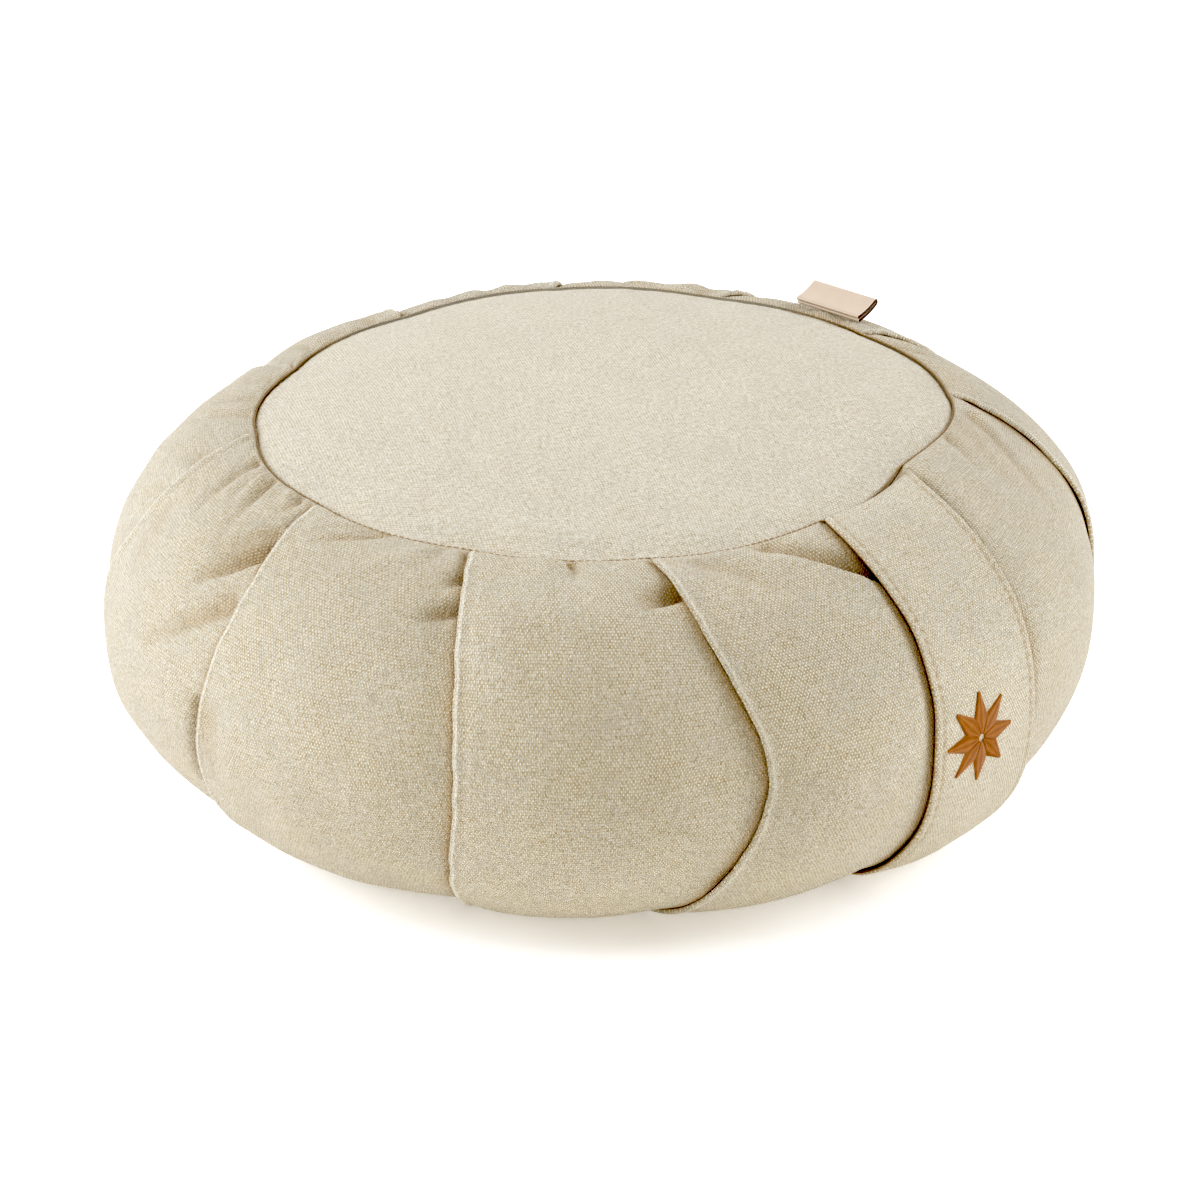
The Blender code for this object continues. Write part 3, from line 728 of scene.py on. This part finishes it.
# The base panel's section: shares of the seam's radius and of the panel's thickness.
BASE_SECTION = ((0.02, 1.0), (0.35, 1.0), (0.7, 1.0), (0.94, 1.0), (0.994, 0.97), (1.0, 0.6),
                (0.997, 0.2), (0.988, 0.0), (0.7, 0.0), (0.35, 0.0), (0.02, 0.0))


def make_base_panel():
    """The flat round panel that the cushion rests on."""
    azimuth = np.arange(240) * 360.0 / 240
    edge = base_seam_radius(azimuth) - BASE_RIM_CLEARANCE
    rings = [place(azimuth, edge * share, BASE_THICKNESS * level) for share, level in BASE_SECTION]
    middles = [(AXIS_X, AXIS_Y, BASE_THICKNESS), (AXIS_X, AXIS_Y, 0.0)]
    points = np.concatenate([*rings, middles])
    faces = [face[::-1] for face in grid_faces(len(rings), 240)]
    faces += fan(0, 240, len(points) - 2, upward=True)
    faces += fan((len(rings) - 1) * 240, 240, len(points) - 1, upward=False)
    return object_from("base_panel_cloth", points, faces, points[:, :2].copy(),
                       recess=np.zeros(len(points)))


# ---- strap and tab

def strap_point(across, height, depth=0.0):
    """A point of the strap: across from its middle line, depth inwards from its face."""
    azimuth, stand = strap_value("azimuth", height), strap_stand(across, height) - depth
    radius, level = band_profile(azimuth, height)
    out, up = band_normal(azimuth, height)
    turned = azimuth + np.degrees(across / (radius + stand))
    drop = shoulder_drop(SIDE_LENGTH - up_the_side(height))
    return place(turned, radius + stand * out, level + stand * up - drop)


def height_at(length):
    """The band's height at a distance along the cloth from the base seam."""
    return np.interp(length, MERIDIAN_LENGTH, MERIDIAN)


def hem_relief(across, length):
    """The strap's face: puffed hems, grooves along the topstitching, soft waves."""
    in_from_edge = HALF_STRAP - np.abs(across)
    groove = bell((in_from_edge - STITCH_INSET) / 0.0009)
    hem = eased(in_from_edge / 0.0010) * (1.0 - eased((in_from_edge - 0.0020) / 0.0012))
    pull = 0.5 + 0.5 * np.cos(2.0 * math.pi * length / STITCH_PITCH)
    waves = undulation(across, 0.6 * length, 0.030, 61)
    return STITCH_GROOVE * groove * (0.75 + 0.25 * pull) - HEM_PUFF * hem - STRAP_SWELL * waves


def cap(first, count, flip, shift=0):
    """Quads across a closed section, between the pairs of points on its two sides.

    With shift 0 its first and middle points are its two ends, with shift 1 it is cut
    straight there.
    """
    faces = [list(dict.fromkeys((k, k + 1, count - shift - k - 1, (count - shift - k) % count)))
             for k in range(count // 2 - shift)]
    return [[first + v for v in (face[::-1] if flip else face)] for face in faces]


def make_carry_strap():
    """The doubled canvas strap, closed, with rounded edges and topstitched hems."""
    roll = 0.5 * STRAP_THICKNESS
    flat = HALF_STRAP - roll  # half the width between the rounded edges
    hem = np.array((0.0, 0.0005, 0.0010, 0.0015, 0.0020, 0.0026, 0.0032, 0.0039))
    face = np.linspace(-flat + hem[-1], flat - hem[-1], 34)
    face = np.concatenate([-flat + hem[:-1], face, (flat - hem[:-1])[::-1]])
    turn = np.radians((60.0, 30.0, 0.0, -30.0, -60.0))
    out, inward = roll * np.cos(turn), roll - roll * np.sin(turn)
    across = np.concatenate([-flat - out[2::-1], face, flat + out, face[::-1],
                             -flat - out[:2:-1]])
    depth = np.concatenate([inward[2::-1], np.zeros(len(face)), inward,
                            np.full(len(face), STRAP_THICKNESS), inward[:2:-1]])
    length = np.arange(up_the_side(STRAP_FOOT), up_the_side(STRAP_TOP), 0.0010)[:, None]
    height = height_at(length)
    facing = np.where(depth <= roll, 1.0 - depth / roll, 0.0)
    wave = STRAP_WAVE * undulation(length, 0.0, 0.024, 71) \
        * np.where(across < 0.0, 1.0, 0.5)
    edge_share = np.square(across / HALF_STRAP)
    sunk = depth + hem_relief(across, length) * facing
    points = strap_point(across + wave * edge_share, height, sunk)
    rows, columns = points.shape[:2]
    faces = grid_faces(rows, columns)
    faces += cap(0, columns, flip=True) + cap((rows - 1) * columns, columns, flip=False)
    around = np.where(depth > roll, across + STRAP_WIDTH, across)
    pull = 0.5 - 0.5 * np.cos(2.0 * math.pi * length / STITCH_PITCH)
    # Painted shade on the strap's rolled edges and underside, and in the pits of its topstitching.
    shade = 1.15 * np.clip(depth / (1.3 * roll), 0.0, 1.0) + (0.25 + 0.85 * pull) * bell(
        (HALF_STRAP - np.abs(across) - STITCH_INSET) / 0.0006) * facing
    return object_from("carry_strap_cloth", points, faces, beside(around, length),
                       recess=np.broadcast_to(shade, (rows, columns)))


def thread(points, normals, radius, sides=6):
    """One stitch: a thin tube along its points, closed at both ends."""
    along = np.gradient(points, axis=0)
    along /= np.linalg.norm(along, axis=1, keepdims=True)
    side = np.cross(along, normals)
    side /= np.linalg.norm(side, axis=1, keepdims=True)
    angles = np.arange(sides) * 2.0 * math.pi / sides
    swell = radius * np.sqrt(np.maximum(1.0 - np.linspace(-1.0, 1.0, len(points)) ** 6, 0.12))
    ring = (np.cos(angles)[None, :, None] * side[:, None, :]
            + np.sin(angles)[None, :, None] * np.cross(side, along)[:, None, :])
    return points[:, None, :] + swell[:, None, None] * ring


def threads_object(name, tubes, along):
    """Many stitches as one mesh, with a place along and around each for its twist."""
    rows, columns = tubes[0].shape[:2]
    count = rows * columns
    tube = [face[::-1] for face in grid_faces(rows, columns)]
    tube += [range(columns), range(count - 1, count - columns - 1, -1)]
    faces = [[first * count + v for v in face] for first in range(len(tubes)) for face in tube]
    uv = beside(np.arange(columns) / columns, np.linspace(0.0, along, rows)[:, None])
    return object_from(name, np.array(tubes), faces, np.array([uv] * len(tubes)))


def thread_on_strap(across, length, rise, radius, sides=6):
    """A stitch along the strap, this far over its face."""
    height, sunk = height_at(length), hem_relief(across, length) - rise
    points, below = (strap_point(across, height, sunk + deeper) for deeper in (0.0, 0.001))
    return thread(points, points - below, radius, sides)


def make_topstitching():
    """The two rows of stitches along the strap's edges."""
    tubes, run = [], np.linspace(-0.5, 0.5, 7)
    dip = STITCH_RADIUS * (3.0 * np.abs(2.0 * run) ** 4 + 0.15)
    for side in (-1.0, 1.0):
        across = side * (HALF_STRAP - STITCH_INSET)
        for middle in np.arange(*up_the_side(STITCHED_HEIGHTS), STITCH_PITCH):
            length = middle + STITCH_LENGTH * run
            tubes.append(thread_on_strap(across, length, -dip, STITCH_RADIUS))
    return threads_object("strap_topstitching", tubes, STITCH_LENGTH)


def make_star():
    """A plain eight-pointed star in satin stitch, each point a lozenge of threads."""
    tubes, run = [], np.linspace(-1.0, 1.0, 7)
    rise = SATIN_RISE * (1.0 - run ** 4) - SATIN_SUNK
    waist = WAIST * STAR_RADIUS * math.sin(math.pi / STAR_POINTS)
    for turn in 2.0 * math.pi * np.arange(STAR_POINTS) / STAR_POINTS:
        for out in np.arange(LOZENGE_REACH[0], LOZENGE_REACH[-1], SATIN_PITCH):
            width = waist * np.interp(out, LOZENGE_REACH, LOZENGE_WIDTH)
            across = STAR_ACROSS + (out * math.sin(turn) + run * width * math.cos(turn))
            length = STAR_UP + (out * math.cos(turn) - run * width * math.sin(turn))
            tubes.append(thread_on_strap(across, length, rise, SATIN_RADIUS, sides=5))
    return threads_object("strap_star_embroidery", tubes, 0.004)


SEAM_STITCHES = 304
SEAM_THREAD_RADIUS = 0.00030
SEAM_STITCH_REACH = 0.46  # half a stitch's length, in pitches
SEAM_STITCH_DEPTH = 0.00034  # below the seam's level
SEAM_STITCH_DIP = 0.0005  # its ends lie deeper
SHUT_STITCH_DEPTH = 0.0009  # and all of it where the seam is shut


def make_seam_stitches():
    """Short stitches that lie in the crease of the top seam."""
    tubes = []
    for k in range(SEAM_STITCHES):
        run = np.linspace(-1.0, 1.0, 6)
        azimuth = (k + SEAM_STITCH_REACH * run) * 360.0 / SEAM_STITCHES
        level = TOP_SEAM_HEIGHT - SEAM_STITCH_DEPTH - SEAM_STITCH_DIP * run ** 4 \
            - SHUT_STITCH_DEPTH * seam_shut(azimuth)
        points = place(azimuth, top_seam_radius(azimuth) - 0.5 * RIM_GAP, level)
        tubes.append(thread(points, np.tile((0.0, 0.0, 1.0), (6, 1)), SEAM_THREAD_RADIUS))
    return threads_object("seam_stitches", tubes, 0.0024)


def make_label_tab():
    """The folded leather tab, with the points of its cut edges marked."""
    half_fold = 0.5 * TAB_FOLD_GAP + TAB_LEATHER
    straight = TAB_LENGTH - half_fold

    def route(radius):
        back = [(out, -radius) for out in np.linspace(0.0, straight, 8)[:-1]]
        bend = [(straight + radius * math.cos(a), radius * math.sin(a))
                for a in np.linspace(-0.5 * math.pi, 0.5 * math.pi, 11)]
        front = [(out, radius) for out in np.linspace(straight, 0.0, 8)[1:]]
        return np.array(back + bend + front)

    loop = np.concatenate([route(half_fold), route(half_fold - TAB_LEATHER)[::-1]])
    bow = TAB_BOW * np.sin(math.pi * np.clip(loop[:, 0] / TAB_LENGTH, 0.0, 1.0))
    tilt, turn = math.radians(TAB_TILT), math.radians(TAB_AZIMUTH)
    root = place(TAB_AZIMUTH, top_seam_radius(TAB_AZIMUTH) + TAB_ROOT, TOP_SEAM_HEIGHT + TAB_ROOT)
    out, up = loop[:, 0], loop[:, 1] - bow
    reach = out * math.cos(tilt) - up * math.sin(tilt)
    lift = out * math.sin(tilt) + up * math.cos(tilt)
    sides = np.array((-0.5, -0.496, -0.488, -0.478, -0.3, -0.1, 0.1, 0.3, 0.478, 0.488, 0.496, 0.5))
    side = sides[:, None] * TAB_WIDTH
    x = root[0] + reach * math.sin(turn) + side * math.cos(turn)
    y = root[1] - reach * math.cos(turn) + side * math.sin(turn)
    points = beside(x, y, root[2] + lift)
    rows, columns = x.shape
    faces = [face[::-1] for face in grid_faces(rows, columns)]
    faces += cap(0, columns, False, shift=1) + cap((rows - 1) * columns, columns, True, shift=1)
    run = np.concatenate([[0.0], np.cumsum(np.linalg.norm(np.diff(loop, axis=0), axis=1))])
    cut = np.repeat(np.where(np.abs(sides) > 0.497, 1.0, 0.0), columns)
    rim = np.repeat(eased((np.abs(sides) - 0.482) / 0.012), columns)
    return object_from("label_tab_leather", points, faces, beside(side, run), cut=cut, rim=rim)


# ---- camera, stage and light

CAMERA_PLACE = (0.0010, -1.4450, 0.7462)
CAMERA_TARGET = (-0.0001, 0.0051, 0.0554)
CAMERA_LENS = 133.09
SENSOR_WIDTH = 36.0
TABLE_SIZE = 9.0


def aimed(name, data, at, target):
    """A camera or a light, turned to a point."""
    piece = bpy.data.objects.new(name, data)
    bpy.context.scene.collection.objects.link(piece)
    piece.location = at
    piece.rotation_euler = (Vector(target) - piece.location).to_track_quat("-Z", "Y").to_euler()
    return piece


def make_camera():
    camera = bpy.data.cameras.new("camera")
    camera.sensor_width, camera.lens = SENSOR_WIDTH, CAMERA_LENS
    bpy.context.scene.camera = aimed("camera", camera, CAMERA_PLACE, CAMERA_TARGET)


COOL = (0.94, 1.0, 1.14)
PLAIN = (0.99, 0.99, 1.02)
WARM = (1.0, 0.89, 0.66)
SOFTBOXES = (  # name, place, size, watts and tint
    ("left_softbox", (-1.9, 0.0, 1.0), 1.5, 47.0, COOL),
    ("right_softbox", (1.9, 0.2, 0.9), 1.4, 35.5, COOL),
    ("top_softbox", (0.0, -0.5, 2.2), 1.8, 22.0, PLAIN),
    ("back_softbox", (-0.3, 2.2, 1.4), 1.6, 20.0, PLAIN),
    ("front_softbox", (0.3, -2.4, 1.0), 1.6, 11.5, WARM),
)
SOFTBOX_TARGET = (0.0, 0.0, 0.07)
WORLD_LIGHT = 0.08
FLOOR_GLOW = 0.34  # lifts the shadow, as a lit table does
BLACK_POINT = 0.09  # of the camera's contrast curve


def make_stage():
    scene = bpy.context.scene
    scene.view_settings.view_transform = "Standard"
    scene.view_settings.use_curve_mapping = True
    scene.view_settings.curve_mapping.black_level = (BLACK_POINT, BLACK_POINT, BLACK_POINT)
    scene.world = bpy.data.worlds.new("studio")
    scene.world.use_nodes = True
    background = scene.world.node_tree.nodes["Background"].inputs
    background["Color"].default_value = (*WARM, 1.0)
    background["Strength"].default_value = WORLD_LIGHT

    bpy.ops.mesh.primitive_plane_add(size=TABLE_SIZE)
    floor = bpy.context.object
    floor.name = "floor"
    paint = Shader("floor_paint", roughness=0.8, specular=0.5)
    paint.feed(paint.surface.inputs["Emission Color"], (1.0, 1.0, 1.0))
    paint.feed(paint.surface.inputs["Emission Strength"], FLOOR_GLOW)
    floor.data.materials.append(paint.paint((0.96, 0.96, 0.96)))

    for name, at, size, watts, tint in SOFTBOXES:
        light = bpy.data.lights.new(name, "AREA")
        light.size, light.energy, light.color = size, watts, tint
        aimed(name, light, at, SOFTBOX_TARGET)


# ---- materials

def node_method(operation):
    return lambda self, *others: self.shader.math(operation, self, *others)


class Value:
    """A node's output, with which sums and products can be written."""

    __add__, __sub__, __mul__, __truediv__, sine, whole = map(
        node_method, ("ADD", "SUBTRACT", "MULTIPLY", "DIVIDE", "SINE", "FLOOR"))

    def __init__(self, shader, socket):
        self.shader, self.socket = shader, socket

    def clamped(self):
        """No less than 0 and no more than 1."""
        return self.shader.math("ADD", self, 0.0, clamp=True)


FIRST_COLOUR, SECOND_COLOUR, MIXED_COLOUR = 6, 7, 2  # sockets of a colour mix


class Shader:
    """A material and its nodes."""

    def __init__(self, name, roughness, sheen=0.0, specular=0.3):
        self.material = bpy.data.materials.new(name)
        self.material.use_nodes = True
        self.tree = self.material.node_tree
        self.surface = self.tree.nodes["Principled BSDF"]
        for socket, value in (("Roughness", roughness), ("Specular IOR Level", specular),
                              ("Sheen Weight", sheen), ("Sheen Roughness", 0.5)):
            self.surface.inputs[socket].default_value = value

    def feed(self, socket, value):
        if isinstance(value, Value):
            self.tree.links.new(value.socket, socket)
        else:
            socket.default_value = (*value, 1.0) if isinstance(value, tuple) else value

    def node(self, kind, inputs=(), output=0, **settings):
        """The output of a new node, with its inputs fed."""
        node = self.tree.nodes.new("ShaderNode" + kind)
        for key, value in settings.items():
            setattr(node, key, value)
        for key, value in inputs:
            self.feed(node.inputs[key], value)
        return Value(self, node.outputs[output])

    def math(self, operation, *values, clamp=False):
        return self.node("Math", enumerate(values), operation=operation, use_clamp=clamp)

    def vector(self, x, y, z=0.0):
        return self.node("CombineXYZ", enumerate((x, y, z)))

    def cloth_place(self):
        """The two coordinates along the cloth, in metres."""
        place_on = self.node("UVMap", uv_map="cloth")
        return [self.node("SeparateXYZ", [(0, place_on)], axis) for axis in (0, 1)]

    def value_of(self, name):
        return self.node("Attribute", output="Fac", attribute_name=name)

    def noise(self, vector, scale, detail=2.0):
        return self.node("TexNoise", (("Vector", vector), ("Scale", scale), ("Detail", detail)))

    def chance(self, vector):
        """An even random value, the same for each whole-numbered place."""
        return self.node("TexWhiteNoise", [("Vector", vector)], "Value")

    def mix(self, factor, first, second, blend="MIX"):
        inputs = (("Factor", factor), (FIRST_COLOUR, first), (SECOND_COLOUR, second))
        return self.node("Mix", inputs, MIXED_COLOUR, data_type="RGBA", blend_type=blend)

    def bump(self, height, distance):
        inputs = (("Strength", 1.0), ("Distance", distance), ("Height", height))
        self.feed(self.surface.inputs["Normal"], self.node("Bump", inputs))

    def paint(self, colour):
        self.feed(self.surface.inputs["Base Color"], colour)
        return self.material


# Plain weave with fine, close warp threads and thicker weft threads.
WARP_PITCH = 0.00057
WEFT_PITCH = 0.00096
LONG_WANDER = (0.012, 0.0020)  # over what length a thread strays, and how far
SHORT_WANDER = (0.0017, 0.00042)
CREAM = (0.86, 0.822, 0.715)  # the threads' crowns
GAP_SHADE = (0.40, 0.305, 0.155)  # painted shade between the threads
HUSK = (0.56, 0.44, 0.27)  # stray flecks in the yarn
EDGE_HIGHLIGHT = (0.93, 0.89, 0.79)  # painted highlight along a pressed edge
AMBER = (0.76, 0.63, 0.48)  # what the light between two folds picks up
UMBER = (0.34, 0.22, 0.12)  # painted shade deep in a seam


def canvas(name, relief=0.00040, grain=0.0, contrast=1.0, cream=0.58, pebble=950.0):
    """Coarse undyed plain-weave canvas.  Grain turns the threads, in degrees.

    Contrast is between the threads' crowns and the gaps, which are painted
    in shade; cream is the crowns' share, and pebble the fineness of the grain.
    """
    cloth = Shader(name, roughness=0.92, sheen=0.10, specular=0.15)
    u, v = cloth.cloth_place()
    place_on = cloth.vector(u, v)
    cos, sin = math.cos(math.radians(grain)), math.sin(math.radians(grain))
    p, q = u * cos + v * sin, v * cos - u * sin

    def straying(offset, size, amount):
        return (cloth.noise(cloth.vector(u + offset, v), 1.0 / size) - 0.5) * amount

    def threads(run, pitch, offset):
        strayed = run + straying(offset, *LONG_WANDER) + straying(offset + 3.0, *SHORT_WANDER)
        return strayed / pitch

    # The crown of each crossing: every second one is the other thread's.
    warp, weft = threads(p, WARP_PITCH, 0.0), threads(q, WEFT_PITCH, 7.0)
    weave = (warp * math.pi).sine() * (weft * math.pi).sine()
    crossing = cloth.math("POWER", cloth.math("ABSOLUTE", weave), 0.8)
    each = cloth.chance(cloth.vector(warp.whole(), weft.whole()))
    pressed = cloth.noise(place_on, 55.0) * 1.2 + 0.40
    crown = crossing * (weave * 0.48 + 0.52) * (each * 0.75 + 0.62) * pressed

    # Threads differ in thickness, and each one changes along its length.
    warp_place = cloth.vector(warp.whole() * 3.17, q * 240.0)
    weft_place = cloth.vector(p * 170.0, weft.whole() * 2.71, 9.0)
    slubs = cloth.noise(warp_place, 1.0, 1.0) + cloth.noise(weft_place, 1.0, 1.0) - 1.0
    fibres = cloth.noise(place_on, pebble, 3.0) - 0.5
    cloth.bump(crown + slubs * 0.35 + fibres * 0.60, relief)

    tone = crown * (1.9 * contrast) + (cream - 0.45 * contrast) + slubs * 0.25 + fibres
    # The gaps between the threads are painted in shade.
    colour = cloth.mix(tone.clamped(), GAP_SHADE, CREAM)
    fleck = cloth.math("GREATER_THAN", cloth.noise(place_on, 420.0, 1.0), 0.74)
    colour = cloth.mix(fleck * 0.18, colour, HUSK)
    patch = cloth.noise(place_on, 34.0, 3.0) * 0.08 + 0.96
    colour = cloth.mix(1.0, colour, cloth.vector(patch, patch, patch), "MULTIPLY")
    # Painted highlight along the pleats' pressed edges.
    colour = cloth.mix(cloth.value_of("crest"), colour, EDGE_HIGHLIGHT)
    # Painted shade, warm in folds and hollows and umber deep in a seam.
    recess = cloth.value_of("recess")
    colour = cloth.mix((recess * 0.95).clamped(), colour, AMBER, "MULTIPLY")
    return cloth.paint(cloth.mix((recess * 4.0 - 4.0).clamped(), colour, UMBER))


def spun_thread(name, colour, dark, sheen=0.1, specular=0.2, strands=60.0):
    """Sewing thread: its plies show as a slanting twist."""
    yarn = Shader(name, roughness=0.62, sheen=sheen, specular=specular)
    around, along = yarn.cloth_place()
    ply = ((along * (100.0 * strands) + around) * (2.0 * math.pi)).sine() * 0.5 + 0.5
    uneven = yarn.noise(yarn.node("TexCoord", output="Object"), 260.0)
    yarn.bump(ply, 0.00005)
    return yarn.paint(yarn.mix((ply * 0.45 + uneven * 0.7).clamped(), dark, colour))


def pale_leather():
    """Smooth veg-tanned leather, cream at its rim and dark brown where it is cut."""
    hide = Shader("pale_leather_grain", roughness=0.55, sheen=0.0, specular=0.35)
    on_hide = hide.vector(*hide.cloth_place())
    pores = hide.noise(on_hide, 3200.0, 3.0)
    colour = hide.mix(hide.noise(on_hide, 150.0, 3.0), (0.60, 0.49, 0.375), (0.67, 0.575, 0.46))
    colour = hide.mix(pores * 0.35, colour, (0.60, 0.44, 0.32))
    colour = hide.mix(hide.value_of("rim") * 0.6, colour, (0.88, 0.80, 0.66))
    fibre = hide.mix(hide.noise(on_hide, 2600.0), (0.035, 0.014, 0.008), (0.12, 0.055, 0.03))
    hide.bump(pores, 0.00004)
    return hide.paint(hide.mix(hide.value_of("cut"), colour, fibre))


# ---- assembly

def dress(piece, material, slot, *nodes):
    piece.data.materials.append(material)
    if nodes:
        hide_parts(*nodes)
    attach(piece, "root")
    return piece


def stretched_round(piece, seam_radius, body):
    """Works out a round panel's width across its seam, and does nothing more with it."""
    across = 2.0 * float(seam_radius(np.arange(360.0)).mean())


def main():
    make_camera()
    make_stage()
    body = dress(make_pleated_body(), canvas("band_canvas_weave"), "band_canvas",
                 "pleated_body")

    # The top panel's canvas is given a paler, flatter tone than the band's: painted light for its
    # lit top.
    weave = canvas("panel_canvas_weave", relief=0.00032, grain=46.0, contrast=0.85, cream=0.68,
                   pebble=700.0)
    top = dress(make_top_panel(), weave, "panel_canvas", "top_panel")
    stretched_round(top, top_seam_radius, body)
    base = dress(make_base_panel(), canvas("base_canvas_weave"), "base_canvas", "base_panel")
    stretched_round(base, base_seam_radius, body)

    cream_thread = spun_thread("cream_thread", (0.72, 0.64, 0.50), (0.50, 0.41, 0.27))
    tan_thread = spun_thread("tan_thread", (0.48, 0.34, 0.19), (0.28, 0.18, 0.09))
    copper_thread = spun_thread("copper_thread", (0.50, 0.215, 0.065), (0.22, 0.08, 0.02),
                                sheen=0.2, specular=0.4, strands=8.0)
    weave = canvas("strap_canvas_weave", relief=0.00032, contrast=0.8, cream=0.57)
    strap = dress(make_carry_strap(), weave, "strap_canvas", "carry_strap")
    stitching = dress(make_topstitching(), cream_thread, "strap_canvas")
    star = dress(make_star(), copper_thread, "strap_canvas")
    length = float(up_the_side(STRAP_TOP) - up_the_side(STRAP_FOOT))
    dress(make_seam_stitches(), tan_thread, "band_canvas")

    tab = dress(make_label_tab(), pale_leather(), "pale_leather", "label_tab")


main()
